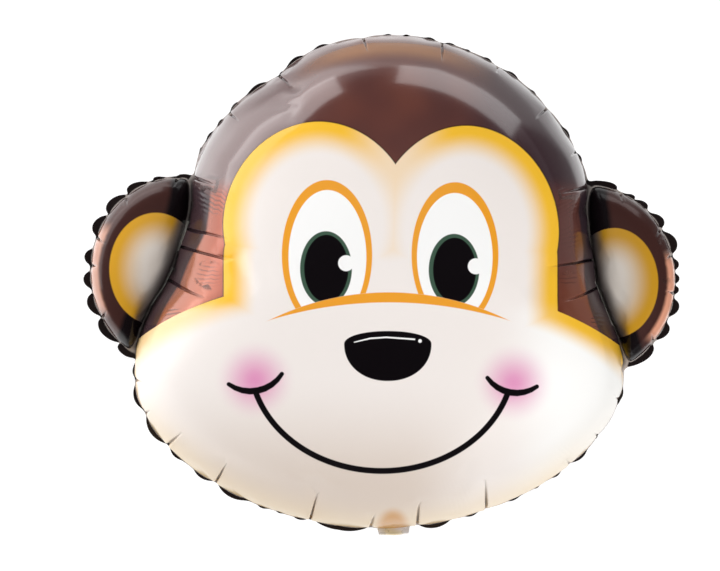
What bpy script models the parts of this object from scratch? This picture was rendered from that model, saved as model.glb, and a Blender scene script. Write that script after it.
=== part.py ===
"""Foil party balloon in the shape of a monkey's head, blown up and lying on its back, face up.

Two sheets of metallised film are welded together round the rim. Filled with gas, each sheet domes out,
the weld is drawn in, and the spare film gathers there in puckers. The welded margin stays flat outside
the weld as a narrow scalloped flange. An inner weld closes off each ear from the head as a chamber of its
own. A flat filling neck leaves the rim under the chin and hangs down behind it. The balloon is sealed, so
each sheet is made as a solid down to the plane of the weld.

Frame: +X is the viewer's right, +Y the top of the head, +Z up towards the viewer. The origin is at the
bottom centre of the balloon's box, on the floor that its back rests on.
"""

import bmesh
import bpy
import functools
import math
import numpy as np

# Outline of the head and ears, in metres from the hub, the middle of the face
DOME_RADIUS = 0.219
DOME_CENTRE = (0.005, 0.048)
MUZZLE_HALF_WIDTH = 0.257
MUZZLE_HALF_HEIGHT = 0.1615
MUZZLE_CENTRE = (-0.0065, -0.0885)
MUZZLE_ROUNDNESS = 1.85
EAR_HALF_WIDTH = 0.0925
EAR_HALF_HEIGHT = 0.100
LEFT_EAR_RISE = 0.019
RIGHT_EAR_RISE = 0.0105
LEFT_EAR_TUCK = -0.0015
RIGHT_EAR_TUCK = 0.013
OUTLINE_BLEND = 0.004
HEAD_BLEND = 0.020

# Where the crown's outline leaves its circle: direction in degrees, reach to its sides, and how far out
CROWN_SWELLS = ((118.0, 7.5, -0.0062), (142.0, 3.5, 0.0030))

# The inner welds behind the ears, by direction in degrees and distance from the hub
LEFT_INNER_WELD = ((155.6, 0.2217), (160.4, 0.2175), (169.1, 0.2192), (174.1, 0.2220), (179.0, 0.2298),
                   (183.6, 0.2433), (187.8, 0.2540), (192.4, 0.2662))
RIGHT_INNER_WELD = ((-12.5, 0.2503), (-8.8, 0.2396), (-3.4, 0.2271), (2.4, 0.2186), (8.8, 0.2179),
                    (16.7, 0.2205), (22.7, 0.2265))

# How far each sheet domes out of the plane of the weld
HEAD_DEPTH = 0.144
EAR_DEPTH = 0.036
EAR_FULLNESS = 0.63
FILM_ROUNDNESS = 2.9
FACE_BLEND = 0.050
FACE_BLEND_FADE = 6.0
REST_FLAT_DEPTH = 0.003

# The weld, its flange and the puckers along it
WELD_GAP = 0.0003
FLANGE_THICKNESS = 0.001
FLANGE_PROUD = 0.004
WELD_INSET = 0.003
LOBE_BULGE = 0.002
PUCKER_SPACING = 0.036
PUCKER_DEPTH = 0.005
LONG_CREASE_DEPTH = 0.007
PUCKER_LENGTH = 0.012
LONG_CREASE_LENGTH = 0.032
LOBE_SQUARENESS = 0.6
SCALLOP_DEPTH = 0.003
INNER_PUCKER_SHARE = 0.35
INNER_PUCKER_LENGTH = 0.030

# Directions from the hub, in degrees, of the long creases that reach in over the crown and the chin
CROWN_CREASES = (36.0, 48.4, 63.4, 77.1, 95.0, 116.3, 131.4)
CHIN_CREASES = (199.8, 207.2, 215.4, 228.6, 251.8, 266.4, 277.7, 294.7, 316.8, 325.6, 335.0)

# The filling neck, a flat tube that leaves the weld between two of the chin's creases. Its straight root is
# set by the rim's distance at some directions beside its middle, in degrees.
NECK_BETWEEN = (266.4, 277.7)
NECK_ROOT_SPAN = (-1.0, 0.0, 1.0)
NECK_WIDTH = 0.028
NECK_LENGTH = 0.058
NECK_THICKNESS = 0.0012
NECK_FLARE = 0.003
NECK_BEND = 0.003
NECK_RUN_OUT = 0.0035
NECK_CLEARANCE = 0.0004
NECK_MARGIN = 0.1

# Fineness of the model: samples across a lobe, and rings by their angle up the dome in degrees
LOBE_SAMPLES = 4
FINE_RINGS = (4, 9, 15)
MIDDLE_RINGS = (22, 29, 34, 38, 40, 43, 49, 55, 62)
INNER_RINGS = (68, 74, 80, 85)
INNER_WELD_RING = 40
CORNER_SHARE = 0.985
CORNER_EASE = 0.050
CORNER_CALM = 0.030
BEND_STEPS = 6
STRAIGHT_STEPS = 4
RAY_LENGTH = 0.42
REACH_STEPS = 601
STRETCH_SAMPLES = 41
CORNER_SEARCH_STEP = 0.1
SHARP_EDGE_DEGREES = 50.0

FOIL_BROWN = (0.130, 0.055, 0.040, 1.0)
BACK_BROWN = (0.060, 0.028, 0.022, 1.0)
NECK_CREAM = (0.800, 0.640, 0.330, 1.0)

LEFT_EAR_CENTRE = (DOME_CENTRE[0] - DOME_RADIUS + LEFT_EAR_TUCK, LEFT_EAR_RISE)
RIGHT_EAR_CENTRE = (DOME_CENTRE[0] + DOME_RADIUS - RIGHT_EAR_TUCK, RIGHT_EAR_RISE)

DOME = (DOME_CENTRE, DOME_RADIUS, DOME_RADIUS, 2.0)
MUZZLE = (MUZZLE_CENTRE, MUZZLE_HALF_WIDTH, MUZZLE_HALF_HEIGHT, MUZZLE_ROUNDNESS)
LEFT_EAR = (LEFT_EAR_CENTRE, EAR_HALF_WIDTH, EAR_HALF_HEIGHT, 2.0)
RIGHT_EAR = (RIGHT_EAR_CENTRE, EAR_HALF_WIDTH, EAR_HALF_HEIGHT, 2.0)


def clear_scene():
    for old in list(bpy.data.objects):
        bpy.data.objects.remove(old, do_unlink=True)


def soft_max(values, softness):
    """Largest of several arrays, rounded off where two of them cross."""
    top = np.max(values, axis=0)
    spread = sum(np.exp((value - top) / softness) for value in values)
    return top + softness * np.log(spread)


def oval(x, y, shape):
    """1 on the oval's edge, less inside it."""
    (cx, cy), half_width, half_height, roundness = shape
    return np.abs((x - cx) / half_width) ** roundness + np.abs((y - cy) / half_height) ** roundness


def reach(angle, shape):
    """Distance from the hub to the far side of an oval, along each angle; 0 where the ray misses it."""
    steps = np.linspace(0.0, RAY_LENGTH, REACH_STEPS)
    x = np.cos(angle)[:, None] * steps
    y = np.sin(angle)[:, None] * steps
    inside = oval(x, y, shape) < 1.0
    last = len(steps) - 1 - np.argmax(inside[:, ::-1], axis=1)
    last = np.minimum(last, len(steps) - 2)
    rows = np.arange(len(angle))
    near = oval(x, y, shape)[rows, last]
    far = oval(x, y, shape)[rows, last + 1]
    edge = steps[last] + steps[1] * (1.0 - near) / (far - near)
    return np.where(inside.any(axis=1), edge, 0.0)


def crown_swell(angle):
    """How far out of its circle the crown's outline lies."""
    degrees = np.degrees(angle) % 360.0
    return sum(out * np.exp(-((degrees - middle) / side) ** 2) for middle, side, out in CROWN_SWELLS)


def head_reach(angle, softness):
    """The dome and the muzzle run together, under the ears too, as distance from the hub."""
    return soft_max([reach(angle, DOME), reach(angle, MUZZLE)], softness) + crown_swell(angle)


def rim_reach(angle):
    """The whole outline, head and ears, as distance from the hub."""
    ovals = [reach(angle, shape) for shape in (DOME, MUZZLE, LEFT_EAR, RIGHT_EAR)]
    return soft_max(ovals, OUTLINE_BLEND) + crown_swell(angle)


def plain_outline(angle):
    """The outline the head would have without ears, nowhere outside the rim."""
    return np.minimum(head_reach(angle, HEAD_BLEND), rim_reach(angle))


def head_outline(angle):
    """The head's own outline. Behind an ear it is the inner weld, led from corner to corner."""
    outline = plain_outline(angle)
    left_top, left_low, right_top, right_low = ear_corners()
    for start, end, places in ((left_top, left_low, LEFT_INNER_WELD),
                               (right_low - 360.0, right_top, RIGHT_INNER_WELD)):
        first, last = plain_outline(np.radians([start, end]))
        directions, distances = np.array([(start, first), *places, (end, last)]).T
        middle = (start + end) / 2
        away = (np.degrees(angle) - middle + 180.0) % 360.0 - 180.0
        weld = np.interp(away, directions - middle, distances)
        outline = np.where(np.abs(away) < (end - start) / 2, np.minimum(weld, outline), outline)
    return outline


def head_share(angle, distance):
    """Share of the way from the hub to the head's own outline.

    At the rim it follows the outline exactly. Towards the hub the dome and the muzzle run together.
    """
    outline = head_outline(angle)
    rounded = head_reach(angle, FACE_BLEND)
    share = distance / outline
    return distance / (rounded + (outline - rounded) * np.minimum(share, 1.0) ** FACE_BLEND_FADE)


def head_height(angle, distance):
    """Height of the head's dome over the weld, nothing outside the head's outline."""
    fullness = 1.0 - head_share(angle, distance) ** FILM_ROUNDNESS
    return HEAD_DEPTH * np.sqrt(np.maximum(fullness, 0.0))


def ear_height(angle, distance):
    """Height of the ears' chambers, which end at the rim on one side and at the inner weld on the other."""
    x = distance * np.cos(angle)
    y = distance * np.sin(angle)
    past_weld = np.maximum((distance / head_outline(angle)) ** 2 - 1.0, 0.0)
    height = np.zeros_like(distance)
    for ear in (LEFT_EAR, RIGHT_EAR):
        inside = np.maximum(1.0 - oval(x, y, ear), 0.0)
        height += EAR_DEPTH * np.sqrt(inside * past_weld) / EAR_FULLNESS
    return height


@functools.cache
def ear_corners():
    """Directions of the four inner corners, where an ear's outline meets the head's."""
    angle = np.radians(np.arange(0.0, 360.0, CORNER_SEARCH_STEP))
    corners = []
    for ear in (LEFT_EAR, RIGHT_EAR):
        proud = reach(angle, ear) > reach(angle, DOME)
        proud &= reach(angle, ear) > reach(angle, MUZZLE)
        changes = np.nonzero(proud != np.roll(proud, 1))[0]
        corners += [math.degrees(angle[change]) for change in changes]
    return corners


def pucker_places():
    """Directions of all puckers in order, and whether each one is a long crease.

    The long creases and the ears' corners come first, and short puckers share out the rim between them.
    """
    fixed = sorted(list(CROWN_CREASES) + list(CHIN_CREASES) + ear_corners())
    places = []
    for start, end in zip(fixed, fixed[1:] + [fixed[0] + 360.0]):
        stretch = np.radians(np.linspace(start, end, STRETCH_SAMPLES))
        distance = rim_reach(stretch)
        steps = np.hypot(np.diff(distance * np.cos(stretch)), np.diff(distance * np.sin(stretch)))
        along = np.concatenate([[0.0], np.cumsum(steps)])
        count = max(1, round(along[-1] / PUCKER_SPACING))
        for step in range(count):
            place = np.interp(along[-1] * step / count, along, np.degrees(stretch))
            places.append((place, step == 0))
    return places


def neck_direction():
    return math.radians(sum(NECK_BETWEEN) / 2)


def rim_samples():
    """For each sample round the rim: its angle, and the depth and length of the puckers there.

    The film arches between two puckers, so the depth falls off steeply from each of them.
    """
    places = pucker_places()
    neck_start, neck_end = NECK_BETWEEN[0] - NECK_MARGIN, NECK_BETWEEN[1] + NECK_MARGIN
    first_again = (places[0][0] + 360.0, places[0][1])
    angles = []
    depths = []
    lengths = []
    on_neck = []
    for (here, long_here), (there, long_there) in zip(places, places[1:] + [first_again]):
        for step in range(LOBE_SAMPLES):
            across = step / LOBE_SAMPLES
            nearest_is_long = long_here if across < 0.5 else long_there
            dip = 1.0 - math.sin(math.pi * across) ** LOBE_SQUARENESS
            angles.append(math.radians(here + (there - here) * across))
            depths.append(dip * (LONG_CREASE_DEPTH if nearest_is_long else PUCKER_DEPTH))
            lengths.append(LONG_CREASE_LENGTH if nearest_is_long else PUCKER_LENGTH)
            on_neck.append(neck_start < math.degrees(angles[-1]) < neck_end)
    angles = np.array(angles)
    near_corner = np.exp(-((from_corner(angles) / CORNER_CALM) ** 2))
    return angles, np.array(depths) * (1.0 - near_corner), np.array(lengths), np.array(on_neck)


def neck_root():
    """Distance from the hub of the straight edge that the filling neck leaves."""
    across = neck_direction() + np.radians(NECK_ROOT_SPAN)
    return float(rim_reach(across).min()) - WELD_INSET


def flange_ring(angles, depths, on_neck):
    """Outer edge of the welded margin: scalloped, and straight where the filling neck takes its place."""
    scallop = SCALLOP_DEPTH * depths / PUCKER_DEPTH
    edge = rim_reach(angles) + FLANGE_PROUD - scallop
    straight = neck_root() / np.cos(angles - neck_direction())
    return np.where(on_neck, straight, edge)


def ring_share(lift):
    """Share of the way from the hub to the rim, for a ring at an angle of lift degrees up the dome."""
    return math.cos(math.radians(lift)) ** (2.0 / FILM_ROUNDNESS)


def from_corner(angles):
    """Distance along the rim to the nearest of the ears' corners."""
    corners = np.radians(ear_corners())
    turn = np.abs((angles[:, None] - corners + math.pi) % (2.0 * math.pi) - math.pi)
    return turn.min(axis=1) * rim_reach(angles)


def inner_weld_share(angles):
    """Place of the inner weld's ring, as a share of the way to the rim.

    Behind an ear it follows the head's outline. Past the corners it eases back in under the dome.
    """
    behind_ear = head_outline(angles) / rim_reach(angles)
    plain = ring_share(INNER_WELD_RING)
    eased = plain + (CORNER_SHARE - plain) * np.exp(-((from_corner(angles) / CORNER_EASE) ** 2))
    return np.where(behind_ear < CORNER_SHARE, behind_ear, eased)


def ring_distance(angles, lift):
    """Distance of a ring from the hub, with the other rings spaced out on both sides of the inner weld's."""
    outline = rim_reach(angles)
    plain = ring_share(INNER_WELD_RING)
    weld = inner_weld_share(angles)
    share = ring_share(lift)
    if share > plain:
        return outline * (1.0 - (1.0 - share) * (1.0 - weld) / (1.0 - plain))
    return outline * share * weld / plain


def film_ring(angles, depths, lengths, lift):
    """One ring of the domed sheet, at an angle of lift degrees up the dome: distance and height."""
    outline = rim_reach(angles)
    distance = ring_distance(angles, lift)
    height = head_height(angles, distance) + ear_height(angles, distance)
    inner_weld = head_outline(angles)
    from_weld = np.hypot(inner_weld - distance, height)
    behind_ear = inner_weld < outline * CORNER_SHARE
    gathered = INNER_PUCKER_SHARE * depths / PUCKER_DEPTH * np.exp(-from_weld / INNER_PUCKER_LENGTH)
    height = height * np.where(behind_ear, 1.0 - gathered, 1.0)
    up_the_film = np.hypot(outline - distance, height)
    dip = depths * np.exp(-up_the_film / lengths)
    bulge = LOBE_BULGE * np.exp(-up_the_film / PUCKER_SPACING)
    distance = distance + bulge - dip * math.cos(math.radians(lift))
    height = np.maximum(height - dip * math.sin(math.radians(lift)), 0.0)
    return distance, height


def ring_verts(mesh, angles, distance, height):
    places = zip(distance * np.cos(angles), distance * np.sin(angles), height)
    return [mesh.verts.new(place) for place in places]


def join_rings(mesh, outer, inner):
    """Faces between two rings; the inner ring has as many points, or half as many."""
    if len(outer) == len(inner):
        for i in range(len(outer)):
            j = (i + 1) % len(outer)
            mesh.faces.new((outer[i], outer[j], inner[j], inner[i]))
        return
    for i in range(len(inner)):
        j = (i + 1) % len(inner)
        middle = outer[2 * i + 1]
        mesh.faces.new((outer[2 * i], middle, inner[i]))
        mesh.faces.new((middle, inner[j], inner[i]))
        mesh.faces.new((middle, outer[2 * j], inner[j]))


def close_ring(mesh, ring, height):
    """A fan of faces from a ring to one point on the hub's axis."""
    tip = mesh.verts.new((0.0, 0.0, height))
    for i in range(len(ring)):
        mesh.faces.new((ring[i], ring[(i + 1) % len(ring)], tip))


def panel_mesh():
    """One sheet as a solid: flat at the weld's plane, with its half of the flange, and domed above."""
    mesh = bmesh.new()
    angles, depths, lengths, on_neck = rim_samples()
    underside = WELD_GAP / 2
    flange_top = underside + FLANGE_THICKNESS

    edge = flange_ring(angles, depths, on_neck)
    weld = rim_reach(angles) - WELD_INSET - depths
    weld = np.minimum(weld, edge - WELD_INSET / 2)
    bottom = ring_verts(mesh, angles, edge, np.full(len(angles), underside))
    top = ring_verts(mesh, angles, edge, np.full(len(angles), flange_top))
    last = ring_verts(mesh, angles, weld, np.full(len(angles), flange_top))
    close_ring(mesh, bottom, underside)
    join_rings(mesh, bottom, top)
    join_rings(mesh, top, last)

    for thinning, rings in ((1, FINE_RINGS), (2, MIDDLE_RINGS), (4, INNER_RINGS)):
        for lift in rings:
            pick = slice(None, None, thinning)
            distance, height = film_ring(angles[pick], depths[pick], lengths[pick], lift)
            ring = ring_verts(mesh, angles[pick], distance, flange_top + height)
            join_rings(mesh, last, ring)
            last = ring
    close_ring(mesh, last, flange_top + HEAD_DEPTH)
    bmesh.ops.recalc_face_normals(mesh, faces=mesh.faces)
    return mesh


def weld_height():
    """Height of the weld's plane over the floor, with the back's middle pressed flat on it."""
    return HEAD_DEPTH + FLANGE_THICKNESS + WELD_GAP / 2 - REST_FLAT_DEPTH


def neck_path():
    """Middle line of the filling neck: distance from its root, height over the weld's plane, angle turned."""
    path = [(0.0, 0.0, 0.0), (NECK_RUN_OUT, 0.0, 0.0)]
    for step in range(1, BEND_STEPS + 1):
        turn = math.pi / 2 * step / BEND_STEPS
        path.append((NECK_RUN_OUT + NECK_BEND * math.sin(turn), NECK_BEND * (math.cos(turn) - 1.0), turn))
    straight = NECK_LENGTH - NECK_RUN_OUT - NECK_BEND * math.pi / 2
    for step in range(1, STRAIGHT_STEPS + 1):
        path.append((NECK_RUN_OUT + NECK_BEND, -NECK_BEND - straight * step / STRAIGHT_STEPS, math.pi / 2))
    return np.array(path)


def neck_mesh():
    """A flat strip swept along its path, a little wider at its root and its open end."""
    mesh = bmesh.new()
    path = neck_path()
    steps = np.hypot(np.diff(path[:, 0]), np.diff(path[:, 1]))
    along = np.concatenate([[0.0], np.cumsum(steps)])
    share = along / along[-1]
    half_width = NECK_WIDTH / 2 + NECK_FLARE * np.abs(2.0 * share - 1.0) ** 2
    outward = np.array([math.cos(neck_direction()), math.sin(neck_direction())])
    sideways = np.array([-outward[1], outward[0]])
    root = neck_root() + NECK_CLEARANCE
    last = None
    for (out, up, turn), half in zip(path, half_width):
        ring = []
        for side, face in ((-1, 1), (1, 1), (1, -1), (-1, -1)):
            offset = face * NECK_THICKNESS / 2
            flat = outward * (root + out + offset * math.sin(turn)) + sideways * side * half
            ring.append(mesh.verts.new((flat[0], flat[1], up + offset * math.cos(turn))))
        if last is None:
            mesh.faces.new(ring)
        else:
            join_rings(mesh, last, ring)
        last = ring
    mesh.faces.new(last)
    bmesh.ops.recalc_face_normals(mesh, faces=mesh.faces)
    return mesh


def press_flat(mesh):
    """Flatten whatever would reach below the floor."""
    for vert in mesh.verts:
        vert.co.z = max(vert.co.z, 0.0)


def material(name, colour, roughness, metallic):
    made = bpy.data.materials.new(name)
    made.use_nodes = True
    shader = made.node_tree.nodes["Principled BSDF"]
    shader.inputs["Base Color"].default_value = colour
    shader.inputs["Roughness"].default_value = roughness
    shader.inputs["Metallic"].default_value = metallic
    return made


def add_object(name, mesh, finish):
    data = bpy.data.meshes.new(name)
    mesh.to_mesh(data)
    mesh.free()
    data.materials.append(finish)
    data.shade_smooth()
    data.set_sharp_from_angle(angle=math.radians(SHARP_EDGE_DEGREES))
    made = bpy.data.objects.new(name, data)
    bpy.context.scene.collection.objects.link(made)
    return made


def box_centre(meshes):
    """Middle, seen from above, of the box round all the meshes."""
    places = np.array([vert.co[:2] for mesh in meshes for vert in mesh.verts])
    return (places.min(axis=0) + places.max(axis=0)) / 2


def build():
    clear_scene()
    front = panel_mesh()
    back = panel_mesh()
    neck = neck_mesh()

    bmesh.ops.scale(back, vec=(1.0, 1.0, -1.0), verts=back.verts)
    bmesh.ops.reverse_faces(back, faces=back.faces)
    middle = box_centre((front, back, neck))
    for mesh in (front, back, neck):
        bmesh.ops.translate(mesh, vec=(-middle[0], -middle[1], weld_height()), verts=mesh.verts)
    press_flat(back)

    add_object("front_panel", front, material("printed_foil", FOIL_BROWN, 0.25, 0.8))
    add_object("back_panel", back, material("back_foil", BACK_BROWN, 0.25, 0.8))
    add_object("filling_neck", neck, material("neck_foil", NECK_CREAM, 0.35, 0.3))


build()
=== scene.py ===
import math

import bmesh
import bpy
import numpy as np
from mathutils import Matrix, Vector
from mathutils.geometry import delaunay_2d_cdt


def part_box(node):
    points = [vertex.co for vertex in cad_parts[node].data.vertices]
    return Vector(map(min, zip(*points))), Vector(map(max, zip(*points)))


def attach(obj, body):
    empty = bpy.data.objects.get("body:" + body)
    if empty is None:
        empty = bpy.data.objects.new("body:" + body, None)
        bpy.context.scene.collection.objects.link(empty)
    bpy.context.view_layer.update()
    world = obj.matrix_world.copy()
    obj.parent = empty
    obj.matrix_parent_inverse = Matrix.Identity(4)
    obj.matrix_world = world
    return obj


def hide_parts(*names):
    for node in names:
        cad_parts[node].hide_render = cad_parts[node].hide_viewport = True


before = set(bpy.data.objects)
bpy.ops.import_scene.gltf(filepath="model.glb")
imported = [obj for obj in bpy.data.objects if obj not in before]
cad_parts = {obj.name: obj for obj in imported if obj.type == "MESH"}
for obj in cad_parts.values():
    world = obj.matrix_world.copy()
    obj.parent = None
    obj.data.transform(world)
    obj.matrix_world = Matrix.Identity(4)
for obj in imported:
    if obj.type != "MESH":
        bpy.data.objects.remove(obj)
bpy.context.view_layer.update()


# The weld
# Two sheets of metallised film are cut alike, laid on each other and heat-welded along a line that runs
# round the rim. A second weld behind each ear closes the ear off as a chamber of its own. When the balloon
# is blown up the line is drawn in, and it gathers in notches with the puckers of the film between them.

DOME_RADIUS = 0.219
DOME_CENTRE = (0.005, 0.048)
MUZZLE_HALF_WIDTH = 0.257
MUZZLE_HALF_HEIGHT = 0.1615
MUZZLE_CENTRE = (-0.0065, -0.0885)
MUZZLE_ROUNDNESS = 1.85
EAR_HALF_WIDTH = 0.0925
EAR_HALF_HEIGHT = 0.100
LEFT_EAR_CENTRE = (-0.2155, 0.019)
RIGHT_EAR_CENTRE = (0.2110, 0.0105)
LEFT_EAR_MIDDLE = (-0.250, 0.019)
RIGHT_EAR_MIDDLE = (0.246, 0.010)
RIM_BLEND = 0.004
HEAD_BLEND = 0.020
FACE_BLEND = 0.050

# Where the crown's outline leaves its circle: direction in degrees, reach to its sides, and how far out
CROWN_SWELLS = ((118.0, 7.5, -0.0062), (142.0, 3.5, 0.0030))

WELD_INSET = 0.002
ON_RIM = 0.005
INNER_WELD_WIDTH = 0.0024
LONG_NOTCH = 0.0044
SHORT_NOTCH = 0.0016
EAR_NOTCH = 0.0022
GATHER_NOTCH = 0.0006
NOTCH_WIDTH = 0.0016
LOBE_SHARE = 0.5
LOBE_WIDTH = 0.0080
LOBE_SPACING = 0.034
GATHER_SPACING = 0.025

# Folds: direction in degrees where each leaves the weld and where it ends, and its reach seen from above.
# Those of the head are given from the middle of the face, those of an ear from the middle of its chamber.
RIM_FOLDS = ((36.0, 36.0, 0.012), (48.4, 48.9, 0.023), (63.4, 62.9, 0.012), (77.1, 76.1, 0.026),
             (95.0, 94.2, 0.021), (116.3, 115.0, 0.020), (131.4, 130.9, 0.018), (199.8, 201.1, 0.012),
             (207.2, 207.2, 0.009), (215.4, 215.0, 0.026), (228.6, 227.4, 0.031), (251.8, 251.5, 0.034),
             (266.4, 267.2, 0.019), (277.7, 279.0, 0.030), (294.7, 297.8, 0.037), (316.8, 316.8, 0.011),
             (325.6, 325.6, 0.010), (335.0, 335.0, 0.010))
GATHER_FOLDS = ((0.5, 356.2, 0.045), (8.4, 8.2, 0.047), (26.9, 29.3, 0.038), (149.5, 148.1, 0.030),
                (162.7, 161.5, 0.048), (168.1, 168.9, 0.054), (177.5, 182.3, 0.048))
LEFT_EAR_FOLDS = ((70.3, 70.3, 0.012), (103.6, 103.6, 0.012), (144.0, 144.0, 0.014), (173.3, 173.3, 0.010),
                  (227.8, 227.8, 0.011))
RIGHT_EAR_FOLDS = ((27.1, 27.1, 0.012), (53.7, 53.7, 0.014), (91.0, 91.0, 0.012), (297.1, 297.1, 0.012),
                   (345.9, 345.9, 0.014))
EAR_CORNERS = (28.1, 149.2, 195.4, 341.7)

# The inner welds, by direction in degrees and distance from the middle of the face
LEFT_INNER_WELD = ((155.6, 0.2217), (160.4, 0.2175), (169.1, 0.2192), (174.1, 0.2220), (179.0, 0.2298),
                   (183.6, 0.2433), (187.8, 0.2540), (192.4, 0.2662))
RIGHT_INNER_WELD = ((-12.5, 0.2503), (-8.8, 0.2396), (-3.4, 0.2271), (2.4, 0.2186), (8.8, 0.2179),
                    (16.7, 0.2205), (22.7, 0.2265))

RAYS = 2880
RAY_STEPS = 1400
RAY_LENGTH = 0.42
EDGE_SMOOTHING = 0.003
WELD_SMOOTHING = 0.006

turn = np.linspace(0.0, math.tau, RAYS + 1)


def soft_max(values, softness):
    """Largest of several arrays, rounded off where two of them cross."""
    top = np.max(values, axis=0)
    return top + softness * np.log(sum(np.exp((value - top) / softness) for value in values))


def oval(x, y, centre, half_width, half_height, roundness=2.0):
    """1 on the oval's edge, less inside it."""
    return (np.abs((x - centre[0]) / half_width) ** roundness
            + np.abs((y - centre[1]) / half_height) ** roundness)


def crossing(hub, inside, last):
    """Distance from the hub to where each ray leaves a region, for the first or the last time."""
    steps = np.linspace(0.0, RAY_LENGTH, RAY_STEPS)
    x = hub[0] + np.cos(turn)[:, None] * steps
    y = hub[1] + np.sin(turn)[:, None] * steps
    within = inside(x, y)
    if last:
        count = within.shape[1] - np.argmax(within[:, ::-1], axis=1)
        count[~within.any(axis=1)] = 0
    else:
        count = np.argmin(within, axis=1)
    return steps[1] * np.maximum(count - 0.5, 0.0)


def smoothed(edge, width):
    """The same closed edge with the steps of its sampling averaged out."""
    reach = max(1, int(width / (math.tau * edge.mean()) * RAYS))
    open_edge = edge[:-1]
    padded = np.concatenate([open_edge[-reach:], open_edge, open_edge[:reach]])
    soft = np.convolve(padded, np.full(2 * reach + 1, 1.0 / (2 * reach + 1)), "valid")
    return np.append(soft, soft[0])


def ovals_edge(shapes, softness):
    """Distance from the middle of the face to the outer edge of several ovals run together."""
    edges = [crossing((0.0, 0.0), lambda x, y, shape=shape: oval(x, y, *shape) < 1.0, True)
             for shape in shapes]
    degrees = np.degrees(turn)
    swell = sum(out * np.exp(-((degrees - middle) / side) ** 2) for middle, side, out in CROWN_SWELLS)
    return smoothed(soft_max(edges, softness), EDGE_SMOOTHING) + swell


DOME = (DOME_CENTRE, DOME_RADIUS, DOME_RADIUS)
MUZZLE = (MUZZLE_CENTRE, MUZZLE_HALF_WIDTH, MUZZLE_HALF_HEIGHT, MUZZLE_ROUNDNESS)
LEFT_EAR = (LEFT_EAR_CENTRE, EAR_HALF_WIDTH, EAR_HALF_HEIGHT)
RIGHT_EAR = (RIGHT_EAR_CENTRE, EAR_HALF_WIDTH, EAR_HALF_HEIGHT)


def short_way(start, end):
    """Degrees from one direction to another by the shorter way round."""
    return (end - start + 180.0) % 360.0 - 180.0


def inner_weld_edge(edge, places, start, end):
    """The head's edge with the stretch between two of the ears' corners led through measured places."""
    centre = (start + end) / 2
    away = short_way(centre, np.degrees(turn))
    ends = [(corner, np.interp(math.radians(corner % 360.0), turn, edge)) for corner in (start, end)]
    directions, distances = zip(*([ends[0]] + list(places) + [ends[1]]))
    measured = np.interp(away, np.array(directions) - centre, distances)
    return smoothed(np.where(np.abs(away) < (end - start) / 2, measured, edge), WELD_SMOOTHING)


head_edge = ovals_edge((DOME, MUZZLE), HEAD_BLEND)
head_edge = inner_weld_edge(head_edge, LEFT_INNER_WELD, EAR_CORNERS[1], EAR_CORNERS[2])
head_edge = inner_weld_edge(head_edge, RIGHT_INNER_WELD, EAR_CORNERS[3] - 360.0, EAR_CORNERS[0])
round_face_edge = ovals_edge((DOME, MUZZLE), FACE_BLEND)
rim_edge = ovals_edge((DOME, MUZZLE, LEFT_EAR, RIGHT_EAR), RIM_BLEND)


def at_angle(edge, angle):
    return np.interp(np.mod(angle, math.tau), turn, edge)


def ear_region(shape):
    """A test for being inside an ear's chamber: within the rim's weld and clear of the inner one."""
    centre, half_width, half_height = shape

    def inside(x, y):
        distance = np.hypot(x, y)
        past_head = distance > at_angle(head_edge, np.arctan2(y, x)) + INNER_WELD_WIDTH / 2
        within_rim = oval(x, y, centre, half_width - WELD_INSET, half_height - WELD_INSET) < 1.0
        return past_head & within_rim
    return inside


def behind_ear(angle):
    """True where the head's own edge lies behind an ear."""
    return at_angle(rim_edge, angle) > at_angle(head_edge, angle) + WELD_INSET


head_weld = smoothed(head_edge - np.where(behind_ear(turn), INNER_WELD_WIDTH / 2, WELD_INSET),
                     WELD_SMOOTHING)
left_ear_weld = smoothed(crossing(LEFT_EAR_MIDDLE, ear_region(LEFT_EAR), False), EDGE_SMOOTHING)
right_ear_weld = smoothed(crossing(RIGHT_EAR_MIDDLE, ear_region(RIGHT_EAR), False), EDGE_SMOOTHING)


def run_of(edge):
    """Length along a closed edge from its first ray to each ray."""
    steps = np.hypot(np.diff(edge * np.cos(turn)), np.diff(edge * np.sin(turn)))
    return np.concatenate([[0.0], np.cumsum(steps)])


def notches(edge, fixed, spacing_at, depth_at):
    """Places along a weld and depths of its notches: fixed ones, with others shared out between them."""
    run = run_of(edge)
    fixed = sorted(math.radians(degrees) % math.tau for degrees in fixed)
    places = []
    for start, end in zip(fixed, fixed[1:] + [fixed[0] + math.tau]):
        first = np.interp(start, turn, run)
        length = (np.interp(end % math.tau, turn, run) - first) % run[-1]
        middle = ((start + end) / 2) % math.tau
        count = max(1, round(length / spacing_at(middle)))
        for step in range(count):
            place = (first + length * step / count) % run[-1]
            angle = np.interp(place, run, turn)
            places.append((place, depth_at(angle, step == 0)))
    return sorted(places)


def drawn_in(place, length, gathers, width, share):
    """How far in the gathers draw a weld at places along it: a dip at each one, as wide as given."""
    dip = np.zeros(len(place))
    for notch, depth in gathers:
        away = np.abs((place - notch + length / 2) % length - length / 2)
        dip += share * depth * np.exp(-away / width)
    return dip


def head_spacing(angle):
    return GATHER_SPACING if behind_ear(angle) else LOBE_SPACING


def head_depth_at(angle, is_long):
    if behind_ear(angle):
        return GATHER_NOTCH
    return LONG_NOTCH if is_long else SHORT_NOTCH


def ear_depth_at(middle, edge):
    """Depth of an ear's notches: full on the rim, slight on the inner weld."""
    def depth(angle, is_long):
        reach = float(at_angle(edge, angle))
        x = middle[0] + reach * math.cos(angle)
        y = middle[1] + reach * math.sin(angle)
        from_rim = float(at_angle(rim_edge, math.atan2(y, x))) - math.hypot(x, y)
        if from_rim > ON_RIM:
            return GATHER_NOTCH
        return EAR_NOTCH if is_long else SHORT_NOTCH
    return depth


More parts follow.
